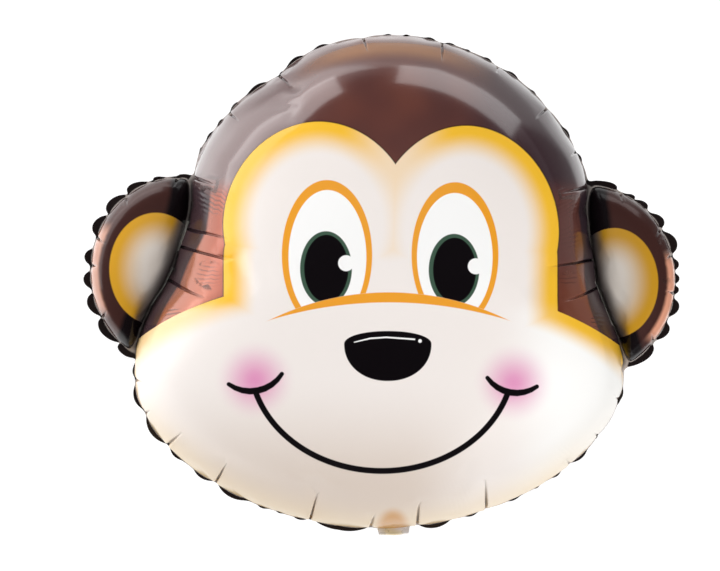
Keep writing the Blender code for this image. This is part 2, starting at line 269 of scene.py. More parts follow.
def ear_chamber(name, middle, edge, folds):
    fixed = [fold[0] for fold in folds]
    gathers = notches(edge, fixed, lambda angle: LOBE_SPACING, ear_depth_at(middle, edge))
    return name, middle, edge, gathers, folds


CHAMBERS = (
    ("head", (0.0, 0.0), head_weld,
     notches(head_weld, [fold[0] for fold in RIM_FOLDS] + list(EAR_CORNERS),
             head_spacing, head_depth_at), RIM_FOLDS + GATHER_FOLDS),
    ear_chamber("left_ear", LEFT_EAR_MIDDLE, left_ear_weld, LEFT_EAR_FOLDS),
    ear_chamber("right_ear", RIGHT_EAR_MIDDLE, right_ear_weld, RIGHT_EAR_FOLDS),
)


# The sheets
# Each sheet is metallised nylon film, a few hundredths of a millimetre thick. It hardly stretches, so it
# domes out and its spare length is gathered at the weld. Each chamber is cut as a flat blank that is wider
# than its drawn-in weld, sewn to the notched weld line and blown up by a cloth simulation.

HEAD_DEPTH = 0.144
EAR_DEPTH = 0.036
HEAD_ROUNDNESS = 2.9
EAR_ROUNDNESS = 4.2
RIM_SPARE_FADE = 0.014
GATHER_FADE = 0.020
EAR_FADE = 0.012
STATIONS = 121
FINE_STEP = 0.0036
COARSE_STEP = 0.0095
STEP_GROWTH = 0.055
ROW_PITCH = 0.88
NOTCH_SIDE = 0.0012
FOLD_STEP = 0.0032
FOLD_RAILS = (-0.0032, -0.0020, -0.0009, 0.0, 0.0009, 0.0020, 0.0032)
FOLD_DEPTH = 0.0038
FOLD_WIDTH = 0.0012
ROW_SMOOTHING = 14
SEW_FRAMES = 8
BLOW_UP_FRAMES = 22
CURVE_STEP = 0.0001
HEADING_BLUR = 30
FADE_SMOOTHING = 0.03
EAR_END_SMOOTHING = 0.008
OUTLINE_POWER = 6
ROW_CLEARANCE = 0.0015
HUB_CLEARANCE = 0.8
HUB_POINTS = 6
MERGE_DISTANCE = 1e-7
NO_ROW = -1.0

# The least distance past the head that an ear's film is marked with
EAR_LEAST = 0.001

# A fold's section and run: its width at its end as a share, its shoulders, and how it deepens from the weld
FOLD_END_WIDTH = 0.55
SHOULDER_HEIGHT = 0.35
SHOULDER_PLACE = 2.2
FOLD_TAPER = 0.8
FULL_FOLD_REACH = 0.030
FOLD_START = 0.003

FILM_SETTINGS = {
    "quality": 8, "mass": 0.02, "air_damping": 5.0, "tension_stiffness": 500.0, "compression_stiffness": 50.0,
    "shear_stiffness": 20.0, "bending_stiffness": 0.05, "tension_damping": 5.0, "compression_damping": 5.0,
    "shear_damping": 5.0, "bending_damping": 0.5, "vertex_group_mass": "weld", "pin_stiffness": 1.0,
    "use_pressure": True, "uniform_pressure_force": 200.0}


def heading_of(angle):
    """Unit vectors towards directions seen from above."""
    return np.stack([np.cos(angle), np.sin(angle)], axis=1)


def notched_weld(edge, gathers):
    """The drawn-in weld line: points closely along it, its own length there, and the plain edge's run."""
    run = run_of(edge)
    length = run[-1]
    place = np.linspace(0.0, length, int(length / CURVE_STEP) + 1)
    angle = np.interp(place, run, turn)
    reach = np.interp(angle, turn, edge)
    points = reach[:, None] * heading_of(angle)
    heading = np.gradient(points, axis=0)
    blur = np.ones(2 * HEADING_BLUR + 1) / (2 * HEADING_BLUR + 1)
    for axis in range(2):
        column = heading[:, axis]
        padded = np.concatenate([column[-HEADING_BLUR - 1:-1], column, column[1:HEADING_BLUR + 1]])
        heading[:, axis] = np.convolve(padded, blur, "valid")
    heading /= np.linalg.norm(heading, axis=1)[:, None]
    inward = np.stack([-heading[:, 1], heading[:, 0]], axis=1)
    dip = (drawn_in(place, length, gathers, NOTCH_WIDTH, 1.0 - LOBE_SHARE)
           + drawn_in(place, length, gathers, LOBE_WIDTH, LOBE_SHARE))
    points += inward * dip[:, None]
    steps = np.linalg.norm(np.diff(points, axis=0), axis=1)
    return place, points, np.concatenate([[0.0], np.cumsum(steps)])


def sewn_places(edge, gathers, blank_run):
    """Where the blank's edge points go on the notched weld. Each lobe keeps its own share of the blank."""
    place, points, drawn = notched_weld(edge, gathers)
    length = place[-1]
    cuts = np.array([notch for notch, depth in gathers])
    cuts = np.append(cuts, cuts[0] + length)
    along = np.where(blank_run < cuts[0], blank_run + length, blank_run)

    def drawn_at(value):
        return np.interp(value % length, place, drawn) + np.floor(value / length) * drawn[-1]
    lobe = np.clip(np.searchsorted(cuts, along, side="right") - 1, 0, len(cuts) - 2)
    share = (along - cuts[lobe]) / (cuts[lobe + 1] - cuts[lobe])
    on_line = drawn_at(cuts[lobe]) + (drawn_at(cuts[lobe + 1]) - drawn_at(cuts[lobe])) * share
    back = np.interp(on_line % drawn[-1], drawn, place)
    return np.stack([np.interp(back, place, points[:, axis]) for axis in range(2)], axis=1)


def meridians(edge, rounded, depth, roundness, spare, fade):
    """Tables over ray and share of the film's length from hub to weld.

    They give the blown-up dome's distance and height, and the same film laid out as a flared rest shape,
    whose edge is longer than the weld by the spare share.
    """
    share = np.sin(np.linspace(0.0, math.pi / 2, STATIONS))
    distance = edge[:, None] * share
    outline = rounded[:, None] + (edge - rounded)[:, None] * share ** OUTLINE_POWER
    height = depth * np.sqrt(np.maximum(1.0 - (distance / outline) ** roundness, 0.0))
    height[:, -1] = 0.0
    step = np.hypot(np.diff(distance, axis=1), np.diff(height, axis=1))
    film = np.concatenate([np.zeros((len(edge), 1)), np.cumsum(step, axis=1)], axis=1)
    length = film[:, -1:]
    flared = distance * (1.0 + spare * np.exp(-(length - film) / fade[:, None]))
    drop = np.sqrt(np.maximum(step ** 2 - np.diff(flared, axis=1) ** 2, 0.0))
    fall = depth - np.concatenate([np.zeros((len(edge), 1)), np.cumsum(drop, axis=1)], axis=1)
    even = np.linspace(0.0, 1.0, STATIONS)
    tables = []
    for table in (distance, height, flared, fall):
        rows = [np.interp(even, film[ray] / length[ray], table[ray]) for ray in range(len(edge))]
        tables.append(np.array(rows))
    return length[:, 0], tables


def edge_places(gathers, length, step):
    """Where the blank's edge points lie along the weld: on each notch, close beside it, then evenly."""
    cuts = [notch for notch, depth in gathers]
    places = []
    for start, end in zip(cuts, cuts[1:] + [cuts[0] + length]):
        between = end - start - 2 * NOTCH_SIDE
        count = max(1, round(between / step))
        places.append(start)
        places += [start + NOTCH_SIDE + between * part / count for part in range(count + 1)]
    return np.array(places) % length


def fold_line(fold, edge, length, distance):
    """How far in a fold has come at each station of its ray, from 0 at the weld to 1 at its end."""
    ray = round(fold[0] / 360.0 * RAYS) % RAYS
    inward = (edge[ray] - distance[ray]) / fold[2]
    return ray, length[ray], inward


def fold_rows(folds, edge, length, distance):
    """Rows of close points along each fold: direction, share of the way out, no run, and the row's number."""
    rows = []
    even = np.linspace(0.0, 1.0, STATIONS)
    for number, fold in enumerate(folds):
        ray, film, inward = fold_line(fold, edge, length, distance)
        for down in np.arange(FOLD_STEP, film, FOLD_STEP):
            share = 1.0 - down / film
            gone = float(np.interp(share, even, inward))
            if gone > 1.0:
                break
            centre = math.radians(fold[0] + short_way(*fold[:2]) * gone)
            across = float(np.interp(share, even, distance[ray]))
            for rail, aside in enumerate(FOLD_RAILS):
                rows.append(((centre + aside / across) % math.tau, share, 0.0,
                             number * len(FOLD_RAILS) + rail))
    return np.array(rows)


def smooth_rows(points, row, share):
    """Even out the points along each row beside a fold, where close points buckle against each other."""
    for number in np.unique(row[row >= 0]):
        along = np.nonzero(row == number)[0]
        along = along[np.argsort(-share[along])]
        line = points[along].copy()
        for repeat in range(ROW_SMOOTHING):
            line[1:-1] = (line[:-2] + 2.0 * line[1:-1] + line[2:]) / 4.0
        points[along] = line


def fold_places(folds, edge, length, distance, angle, share):
    """For each fold: every point's distance to its side, and how much of the fold is left there."""
    even = np.linspace(0.0, 1.0, STATIONS)
    for fold in folds:
        ray, film, inward = fold_line(fold, edge, length, distance)
        gone = np.interp(share, even, inward)
        centre = np.radians(fold[0] + short_way(*fold[:2]) * np.clip(gone, 0.0, 1.0))
        across = np.interp(share, even, distance[ray])
        yield ((angle - centre + math.pi) % math.tau - math.pi) * across, 1.0 - gone


def beside_fold(folds, edge, length, distance, angle, share):
    """True for points that the folds' own rows take the place of."""
    taken = np.zeros(len(angle), bool)
    for aside, left in fold_places(folds, edge, length, distance, angle, share):
        taken |= (np.abs(aside) < FOLD_RAILS[-1] + ROW_CLEARANCE) & (left > 0.0)
    return taken


def fold_depth(folds, edge, length, distance, angle, share):
    """How far the film is folded in: sharp valleys between two slight shoulders."""
    from_weld = (1.0 - share) * np.interp(angle, turn, length)
    depth = np.zeros(len(angle))
    places = fold_places(folds, edge, length, distance, angle, share)
    for fold, (aside, left) in zip(folds, places):
        taper = np.clip(left, 0.0, 1.0)
        width = FOLD_WIDTH * (FOLD_END_WIDTH + (1.0 - FOLD_END_WIDTH) * taper)
        shoulders = np.exp(-((np.abs(aside) - SHOULDER_PLACE * width) / width) ** 2)
        valley = np.exp(-(aside / width) ** 2) - SHOULDER_HEIGHT * shoulders
        full = math.sqrt(min(fold[2], FULL_FOLD_REACH) / FULL_FOLD_REACH)
        depth += FOLD_DEPTH * full * taper ** FOLD_TAPER * valley
    return depth * (1.0 - np.exp(-from_weld / FOLD_START))


def blank_points(edge, length, spare, gathers, folds, distance):
    """Points of the flat blank in rings from its edge to its hub.

    Each has its direction, its share of the way out, its run along the weld, and the number of its fold row.
    """
    run = run_of(edge)
    mean_length = length.mean()

    def ring(place, share):
        count = len(place)
        return np.stack([np.interp(place, run, turn), np.full(count, share), place,
                         np.full(count, NO_ROW)], axis=1)
    border = ring(edge_places(gathers, run[-1], FINE_STEP / (1.0 + spare)), 1.0)
    rings = []
    share = 1.0 - ROW_PITCH * FINE_STEP / mean_length
    step = FINE_STEP
    while share * mean_length > HUB_CLEARANCE * step:
        count = max(HUB_POINTS, round(run[-1] * (1.0 + spare) * share / step))
        rings.append(ring((np.arange(count) + 0.5 * (len(rings) % 2)) / count * run[-1], share))
        share -= ROW_PITCH * step / mean_length
        step = min(COARSE_STEP, FINE_STEP + STEP_GROWTH * (1.0 - share) * mean_length)
    inner = np.vstack(rings)
    inner = inner[~beside_fold(folds, edge, length, distance, inner[:, 0], inner[:, 1])]
    return np.vstack([border, inner, fold_rows(folds, edge, length, distance)]), len(border)


def vertex_normals(points, faces):
    corners = points[np.array(faces)]
    facing = np.cross(corners[:, 1] - corners[:, 0], corners[:, 2] - corners[:, 0])
    normals = np.zeros_like(points)
    for corner in range(3):
        np.add.at(normals, np.array(faces)[:, corner], facing)
    return normals / np.maximum(np.linalg.norm(normals, axis=1), 1e-12)[:, None]


def look_up(table, angle, share):
    """Value of a table between its rays and stations."""
    ray = angle / math.tau * RAYS
    station = share * (STATIONS - 1)
    r0 = np.minimum(ray.astype(int), RAYS - 1)
    s0 = np.minimum(station.astype(int), STATIONS - 2)
    fr = ray - r0
    fs = station - s0
    near = table[r0, s0] * (1 - fs) + table[r0, s0 + 1] * fs
    far = table[r0 + 1, s0] * (1 - fs) + table[r0 + 1, s0 + 1] * fs
    return near * (1 - fr) + far * fr


def placed(name, data):
    """A new object of the scene."""
    made = bpy.data.objects.new(name, data)
    bpy.context.scene.collection.objects.link(made)
    return made


def blow_up(name, rest, sewn, faces, weld_verts):
    """Cloth run: the blank's edge is drawn on to the notched weld, then gas pressure rounds the film out."""
    data = bpy.data.meshes.new(name)
    data.from_pydata(rest.tolist(), [], faces)
    film = placed(name, data)
    film.shape_key_add(name="blank")
    drawn = film.shape_key_add(name="sewn")
    drawn.data.foreach_set("co", sewn.astype(np.float32).ravel())
    drawn.value = 0.0
    drawn.keyframe_insert("value", frame=1)
    drawn.value = 1.0
    drawn.keyframe_insert("value", frame=SEW_FRAMES)
    held = film.vertex_groups.new(name="weld")
    held.add(weld_verts, 1.0, "REPLACE")
    cloth = film.modifiers.new("Cloth", "CLOTH")
    for label, value in FILM_SETTINGS.items():
        setattr(cloth.settings, label, value)
    cloth.settings.effector_weights.gravity = 0.0
    cloth.collision_settings.use_collision = False
    cloth.collision_settings.use_self_collision = False
    cloth.point_cache.frame_end = BLOW_UP_FRAMES
    for frame_number in range(1, BLOW_UP_FRAMES + 1):
        bpy.context.scene.frame_set(frame_number)
    blown = film.evaluated_get(bpy.context.evaluated_depsgraph_get())
    places = np.empty(len(data.vertices) * 3, np.float32)
    blown.data.vertices.foreach_get("co", places)
    bpy.data.objects.remove(film, do_unlink=True)
    bpy.context.scene.frame_set(1)
    return places.reshape(-1, 3).astype(float)


def ring_edges(first, count):
    """Edges of a closed ring of points that are numbered on from the first."""
    return [(first + i, first + (i + 1) % count) for i in range(count)]


def chamber_film(name, middle, edge, gathers, folds):
    """One chamber's film over the weld's plane: points, faces, edge loop, and where each point is printed."""
    is_head = name == "head"
    place, points, drawn = notched_weld(edge, gathers)
    spare = drawn[-1] / place[-1] - 1.0
    rounded = round_face_edge + (edge - head_edge) if is_head else edge
    fade = np.where(behind_ear(turn), GATHER_FADE, RIM_SPARE_FADE) if is_head else np.full(RAYS + 1, EAR_FADE)
    fade = smoothed(fade, FADE_SMOOTHING)
    shape = (HEAD_DEPTH, HEAD_ROUNDNESS) if is_head else (EAR_DEPTH, EAR_ROUNDNESS)
    length, tables = meridians(edge, rounded, *shape, spare, fade)
    blank, edge_count = blank_points(edge, length, spare, gathers, folds, tables[0])
    angle, share, run, row = blank.T
    laid = np.interp(angle, turn, length) * share
    flat = laid[:, None] * heading_of(angle)
    made = delaunay_2d_cdt([Vector(p) for p in flat.tolist()], ring_edges(0, edge_count), [], 1,
                           MERGE_DISTANCE)
    source = np.array([min(origin) for origin in made[3]])
    faces = [list(face) for face in made[2]]
    angle, share, run, row = angle[source], share[source], run[source], row[source]
    distance, height, flared, fall = (look_up(table, angle, share) for table in tables)
    ray = heading_of(angle)
    plan = ray * distance[:, None] + middle
    rest = np.column_stack([ray * flared[:, None] + middle, fall])
    sewn = np.column_stack([plan, height])
    on_edge = source < edge_count
    sewn[on_edge, :2] = sewn_places(edge, gathers, run[on_edge]) + middle
    sewn[on_edge, 2] = 0.0
    weld_verts = [int(i) for i in np.nonzero(on_edge)[0]]
    blown = blow_up(name, rest, sewn, faces, weld_verts)
    smooth_rows(blown, row, share)
    from_weld = (1.0 - share) * np.interp(angle, turn, length)
    normals = vertex_normals(blown, faces)
    normals *= np.sign(normals[:, 2].sum())
    folded = fold_depth(folds, edge, length, tables[0], angle, share)
    blown -= normals * folded[:, None]
    blown[on_edge] = sewn[on_edge]
    loop = sorted(weld_verts, key=lambda i: source[i])
    beyond = np.hypot(*plan.T) - at_angle(head_edge, np.arctan2(plan[:, 1], plan[:, 0]))
    behind = -np.interp(angle, turn, smoothed(behind_ear(turn).astype(float), EAR_END_SMOOTHING))
    return {"points": blown, "faces": faces, "loop": loop, "from_weld": from_weld, "run": run,
            "fold": folded / FOLD_DEPTH, "past_head": behind if is_head else np.maximum(beyond, EAR_LEAST)}


# The welded margin outside the line stays flat film on film, about 8 mm wide, and ripples as the line
# gathers. It shows as dark scallops past the bulging film. The strip between head and ear is weld too.

MARGIN_STEP = 0.0045
SCALLOP_STEP = 0.0022
SCALLOP_SAMPLES = 6
MARGIN_LEAST = 0.0007
MARGIN_ROWS = 2
RIPPLE_HEIGHT = 0.0016
RIPPLE_FADE = 1.5
RIPPLE_TURN = 1.7
RIPPLE_START = 0.5
LEAST_TURN = 0.0004
FILM_GAP = 0.0004

# What the margin is marked with, as the distances in from the weld and past the head are on the film
PROUD_PLACE = -1.0
FLUSH_PLACE = -0.001
MARGIN_PAST_HEAD = 0.05

NECK_BETWEEN = (266.4, 277.7)

# Stretches where the margin stands proud of the film, in degrees from the middle of the face
HEAD_SCALLOPS = ((32.9, 35.7), (39.4, 42.6), (52.3, 54.0), (57.8, 61.0), (64.8, 67.0), (70.3, 71.5),
                 (73.9, 76.4), (78.5, 81.1), (84.4, 86.0), (88.6, 90.0), (103.0, 106.6), (109.2, 113.9),
                 (115.1, 116.3), (119.6, 125.2), (128.0, 130.8), (133.4, 135.5), (137.2, 140.0),
                 (142.1, 143.2), (196.2, 199.1), (200.8, 206.1), (207.9, 215.2), (216.3, 220.1),
                 (223.2, 227.9), (229.4, 237.1), (239.3, 241.8), (243.7, 245.4), (248.0, 251.4),
                 (253.4, 265.8), (278.0, 285.9), (289.4, 292.6), (300.2, 303.4), (306.9, 308.3),
                 (311.6, 314.0), (317.0, 321.8), (324.7, 325.7), (333.6, 337.7))
EAR_SCALLOPS = ((149.3, 151.2), (152.8, 154.6), (155.4, 159.4), (159.7, 164.6), (164.9, 169.4),
                (171.9, 175.2), (176.3, 179.8), (180.6, 185.2), (185.6, 191.2), (191.3, 195.4),
                (342.4, 348.5), (349.5, 353.4), (354.6, 358.3), (359.1, 360.9), (361.2, 363.3),
                (363.9, 366.3), (367.2, 371.9), (372.6, 376.2), (377.1, 379.9), (380.0, 381.8),
                (383.4, 388.0))

# A scallop's height by its length, at least and at most, and the power of the sine that arches it
HEAD_SCALLOP_SHAPE = (0.14, 0.0008, 0.0046, 0.8)
EAR_SCALLOP_SHAPE = (0.40, 0.0040, 0.0086, 0.6)


def margin_edge():
    """The cut edge round the rim: direction, distance from the face's middle, run, ripple height, arch."""
    run = run_of(rim_edge)
    scallops = [(*stretch, HEAD_SCALLOP_SHAPE) for stretch in HEAD_SCALLOPS]
    scallops = sorted(scallops + [(*stretch, EAR_SCALLOP_SHAPE) for stretch in EAR_SCALLOPS])
    ends = [scallop[0] for scallop in scallops[1:]] + [scallops[0][0] + 360.0]
    rows = []

    def add(degrees, proud, arch, number):
        angle = math.radians(degrees) % math.tau
        reach = float(at_angle(rim_edge, angle)) - WELD_INSET + MARGIN_LEAST + proud * arch
        place = float(np.interp(angle, turn, run))
        lift = RIPPLE_HEIGHT * arch * math.sin(RIPPLE_TURN * number + RIPPLE_START)
        rows.append((angle, reach, place, lift, arch))
    for number, ((start, stop, shape), end) in enumerate(zip(scallops, ends)):
        slope, least, most, power = shape
        reach = float(at_angle(rim_edge, math.radians(start)))
        length = math.radians(stop - start) * reach
        proud = min(max(slope * length, least), most)
        count = max(SCALLOP_SAMPLES, round(length / SCALLOP_STEP))
        for step in range(count + 1):
            arch = max(math.sin(math.pi * step / count), 0.0) ** power
            add(start + (stop - start) * step / count, proud, arch, number)
        count = max(1, round(math.radians(end - stop) * reach / MARGIN_STEP))
        for step in range(1, count):
            add(stop + (end - stop) * step / count, 0.0, 0.0, number)
    rows = sorted(rows)
    head_run, gathers = run_of(head_weld), CHAMBERS[0][3]
    places = np.interp([row[0] for row in rows], turn, head_run)
    dips = drawn_in(places, head_run[-1], gathers, LOBE_WIDTH, LOBE_SHARE)
    rows = [(angle, reach if behind_ear(angle) else reach - dip, place, lift, arch)
            for (angle, reach, place, lift, arch), dip in zip(rows, dips)]
    gaps = [(after[0] - row[0]) % math.tau for row, after in zip(rows, rows[1:] + rows[:1])]
    return np.array([row for row, gap in zip(rows, gaps) if gap > LEAST_TURN]).T


def whole_sheet():
    """All three chambers and the weld between and round them as one sheet over the weld's plane."""
    parts = [chamber_film(*chamber) for chamber in CHAMBERS]
    keys = ("points", "from_weld", "run", "past_head", "fold")
    sheet = {key: np.concatenate([part[key] for part in parts]) for key in keys}
    faces, loops, start = [], [], 0
    for part in parts:
        faces += [[i + start for i in face] for face in part["faces"]]
        loops.append([i + start for i in part["loop"]])
        start += len(part["points"])
    angle, reach, place, lift, arch = margin_edge()
    weld_reach = at_angle(rim_edge, angle) - WELD_INSET
    ray = heading_of(angle)
    flat, owner, border = [], [], []
    for loop in loops:
        first = len(flat)
        flat += sheet["points"][loop][:, :2].tolist()
        owner += loop
        border += ring_edges(first, len(loop))
    new_points, new_run, new_from_weld, cut_edge = [], [], [], []
    for row in range(MARGIN_ROWS):
        out = 1.0 - row / MARGIN_ROWS
        ring = ray * (weld_reach + (reach - weld_reach) * out)[:, None]
        first = len(flat)
        flat += ring.tolist()
        owner += [start + len(new_points) + i for i in range(len(angle))]
        new_points += np.column_stack([ring, lift * out ** RIPPLE_FADE]).tolist()
        new_run += place.tolist()
        new_from_weld += np.where(arch > 0.0, PROUD_PLACE, FLUSH_PLACE).tolist()
        if row == 0:
            border += ring_edges(first, len(angle))
            cut_edge = owner[-len(angle):]
    made = delaunay_2d_cdt([Vector(p) for p in flat], border, [], 2, MERGE_DISTANCE)
    origin = [owner[min(o)] if o else -1 for o in made[3]]
    land = [[origin[i] for i in face] for face in made[2]]
    count = len(new_points)
    margin = {"points": new_points, "from_weld": new_from_weld, "run": new_run,
              "past_head": np.full(count, MARGIN_PAST_HEAD), "fold": np.zeros(count)}
    for key in keys:
        sheet[key] = np.concatenate([sheet[key], np.array(margin[key])])
    sheet["faces"] = faces + [face for face in land if -1 not in face]
    sheet["cut_edge"] = cut_edge
    return sheet


sheet = whole_sheet()


# Front sheet
# The front is printed on the outside: transparent brown on the bare metal of the head and ears, and opaque
# white, yellow and black for the face. Its film leaves the weld steeply and is nearly flat on the face.

CAMERA_DISTANCE = 2.6
PIXEL = 0.00104
FACE_MIDDLE = (385, 290)
PICTURE_MIDDLE = (360, 285.5)
REST_SOFTNESS = 0.0015

top_of_face = max(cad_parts["front_panel"].data.vertices, key=lambda vert: vert.co.z).co.copy()
weld_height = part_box("front_panel")[0].z


def picture(x, y):
    """A place in the picture, in metres from the middle of the face."""
    return ((x - FACE_MIDDLE[0]) * PIXEL, (FACE_MIDDLE[1] - y) * PIXEL)


def sheet_object(name, side):
    """One sheet as an object; side is 1 for the front and -1 for the back."""
    hem = sheet["cut_edge"] if side > 0 else []
    picks = list(range(len(sheet["points"]))) + hem
    points, from_weld = sheet["points"][picks], sheet["from_weld"][picks]
    points[:, 2] = np.where(from_weld < 0.0, points[:, 2], side * points[:, 2])
    points[:, 2] += side * FILM_GAP / 2
    faces = [list(face) for face in sheet["faces"]]
    first = len(sheet["points"])
    points[first:, 2] -= FILM_GAP
    for i in range(len(hem)):
        j = (i + 1) % len(hem)
        faces.append([hem[i], first + i, first + j, hem[j]])
    data = bpy.data.meshes.new(name)
    world = points + np.array([top_of_face.x, top_of_face.y, weld_height])
    if side < 0:
        world[:, 2] = REST_SOFTNESS * np.logaddexp(0.0, world[:, 2] / REST_SOFTNESS)
    data.from_pydata(world.tolist(), [], faces)
    weld = data.attributes.new("weld_place", "FLOAT_VECTOR", "POINT")
    weld_values = np.column_stack([sheet["run"][picks], from_weld, sheet["past_head"][picks]])
    weld.data.foreach_set("vector", weld_values.astype(np.float32).ravel())
    fold = data.attributes.new("fold", "FLOAT", "POINT")
    fold.data.foreach_set("value", sheet["fold"][picks].astype(np.float32))
    mesh = bmesh.new()
    mesh.from_mesh(data)
    bmesh.ops.delete(mesh, geom=[vert for vert in mesh.verts if not vert.link_faces], context="VERTS")
    bmesh.ops.recalc_face_normals(mesh, faces=mesh.faces)
    facing = sum(face.normal.z * face.calc_area() for face in mesh.faces)
    if facing * side < 0:
        bmesh.ops.reverse_faces(mesh, faces=mesh.faces)
    mesh.to_mesh(data)
    mesh.free()
    data.shade_smooth()
    made = placed(name, data)
    rounder = made.modifiers.new("rounding", "SUBSURF")
    rounder.levels = 1
    rounder.render_levels = 1
    return made


front = sheet_object("printed_front_sheet", 1)


def group(name, inputs, outputs):
    """A shader node group with named sockets, given as name: kind or name: (kind, value)."""
    tree = bpy.data.node_groups.new(name, "ShaderNodeTree")
    for label, kind in inputs.items():
        kind, value = kind if isinstance(kind, tuple) else (kind, None)
        socket = tree.interface.new_socket(label, in_out="INPUT", socket_type="NodeSocket" + kind)
        if value is not None:
            socket.default_value = value
    for label, kind in outputs.items():
        tree.interface.new_socket(label, in_out="OUTPUT", socket_type="NodeSocket" + kind)
    return tree, tree.nodes.new("NodeGroupInput").outputs, tree.nodes.new("NodeGroupOutput").inputs


def feed(tree, socket, value):
    """Set a socket to a value, or link it to another node's output."""
    if isinstance(value, bpy.types.NodeSocket):
        tree.links.new(value, socket)
    elif value is not None:
        socket.default_value = value


def calc(tree, operation, a, b=None, clamp=False):
    node = tree.nodes.new("ShaderNodeMath")
    node.operation = operation
    node.use_clamp = clamp
    for socket, value in zip(node.inputs, (a, b)):
        feed(tree, socket, value)
    return node.outputs[0]


def vector(tree, operation, a, b=None, scale=None):
    node = tree.nodes.new("ShaderNodeVectorMath")
    node.operation = operation
    for socket, value in zip(node.inputs, (a, b)):
        feed(tree, socket, value)
    feed(tree, node.inputs[3], scale)
    return node.outputs["Value" if operation in ("LENGTH", "DOT_PRODUCT", "DISTANCE") else "Vector"]


def parts_of(tree, value):
    node = tree.nodes.new("ShaderNodeSeparateXYZ")
    tree.links.new(value, node.inputs[0])
    return node.outputs


def ramp(tree, value, low, high, to_low=0.0, to_high=1.0, smooth=True):
    """A value carried from one range to another, and held at its ends."""
    node = tree.nodes.new("ShaderNodeMapRange")
    node.interpolation_type = "SMOOTHSTEP" if smooth else "LINEAR"
    for label, given in zip(("Value", "From Min", "From Max", "To Min", "To Max"),
                            (value, low, high, to_low, to_high)):
        feed(tree, node.inputs[label], given)
    return node.outputs["Result"]


def joined(tree, operation, values):
    """Several values carried through one operation, one after the other."""
    result = values[0]
    for value in values[1:]:
        result = calc(tree, operation, result, value)
    return result


def product(tree, *values):
    return joined(tree, "MULTIPLY", values)


def smallest(tree, *edges):
    """The shapes run together."""
    return joined(tree, "MINIMUM", edges)


def largest(tree, *edges):
    """What the shapes have in common."""
    return joined(tree, "MAXIMUM", edges)


def rest_of(tree, share):
    return calc(tree, "SUBTRACT", 1.0, share)


def band(tree, value, low, low_full, high_full, high):
    """1 in the middle of a range, faded to 0 at its two ends."""
    return product(tree, ramp(tree, value, low, low_full), ramp(tree, value, high, high_full))


def blend_colours(tree, share, under, over):
    node = tree.nodes.new("ShaderNodeMix")
    node.data_type = "RGBA"
    feed(tree, node.inputs["Factor"], share)
    feed(tree, node.inputs["A"], under)
    feed(tree, node.inputs["B"], over)
    return node.outputs["Result"]


def use(tree, made, **inputs):
    """A node group placed in a tree with its own values."""
    node = tree.nodes.new("ShaderNodeGroup")
    node.node_tree = made
    for label, value in inputs.items():
        feed(tree, node.inputs[label.replace("_", " ")], value)
    return node.outputs


def noise(tree, place, scale, detail=2.0):
    node = tree.nodes.new("ShaderNodeTexNoise")
    feed(tree, node.inputs["Vector"], place)
    node.inputs["Scale"].default_value = scale
    node.inputs["Detail"].default_value = detail
    return node.outputs["Fac"]


def oval_group():
    """Signed distance to a printed oval, negative inside; it may be taller above its middle than below."""
    tree, given, made = group("printed oval", {
        "Place": "Vector", "Centre": "Vector", "Half Width": ("Float", 0.01), "Above": ("Float", 0.01),
        "Below": ("Float", 0.01), "Roundness": ("Float", 2.0)}, {"Edge": "Float"})
    away = parts_of(tree, vector(tree, "SUBTRACT", given["Place"], given["Centre"]))
    is_above = calc(tree, "GREATER_THAN", away[1], 0.0)
    half_height = calc(tree, "ADD", product(tree, given["Above"], is_above),
                       product(tree, given["Below"], rest_of(tree, is_above)))
    across = calc(tree, "ABSOLUTE", calc(tree, "DIVIDE", away[0], given["Half Width"]))
    up = calc(tree, "ABSOLUTE", calc(tree, "DIVIDE", away[1], half_height))
    share = calc(tree, "POWER", calc(tree, "ADD", calc(tree, "POWER", across, given["Roundness"]),
                                     calc(tree, "POWER", up, given["Roundness"])),
                 calc(tree, "DIVIDE", 1.0, given["Roundness"]))
    distance = calc(tree, "SQRT", calc(tree, "ADD", product(tree, away[0], away[0]),
                                       product(tree, away[1], away[1])))
    edge = calc(tree, "SUBTRACT", distance, calc(tree, "DIVIDE", distance, share))
    tree.links.new(edge, made["Edge"])
    return tree


def stroke_group():
    """Signed distance to a straight stroke of the pen with round ends, negative inside."""
    tree, given, made = group("printed stroke", {
        "Place": "Vector", "Start": "Vector", "End": "Vector", "Start Width": ("Float", 0.005),
        "End Width": ("Float", 0.005)}, {"Edge": "Float"})
    out = vector(tree, "SUBTRACT", given["Place"], given["Start"])
    along = vector(tree, "SUBTRACT", given["End"], given["Start"])
    share = calc(tree, "DIVIDE", vector(tree, "DOT_PRODUCT", out, along),
                 vector(tree, "DOT_PRODUCT", along, along), clamp=True)
    nearest = vector(tree, "SCALE", along, scale=share)
    off_line = vector(tree, "LENGTH", vector(tree, "SUBTRACT", out, nearest))
    width = ramp(tree, share, 0.0, 1.0, given["Start Width"], given["End Width"], smooth=False)
    tree.links.new(calc(tree, "SUBTRACT", off_line, product(tree, width, 0.5)), made["Edge"])
    return tree


def ink_group():
    """One colour laid over what is under it, inside an edge: printed colours, and the painted glints of the
    welds.
    """
    tree, given, made = group("ink", {
        "Under": "Color", "Ink": "Color", "Edge": "Float", "Softness": ("Float", 0.0005),
        "Cover": ("Float", 1.0)}, {"Colour": "Color", "Mask": "Float"})
    mask = ramp(tree, given["Edge"], given["Softness"], product(tree, given["Softness"], -1.0))
    mask = product(tree, mask, given["Cover"])
    tree.links.new(blend_colours(tree, mask, given["Under"], given["Ink"]), made["Colour"])
    tree.links.new(mask, made["Mask"])
    return tree


# Scales of the noise that makes the ribs sway and the film wave, and how far the ribs sway
SWAY_SCALE = 22.0
WAVE_SCALE = 9.0
SWAY = 0.004


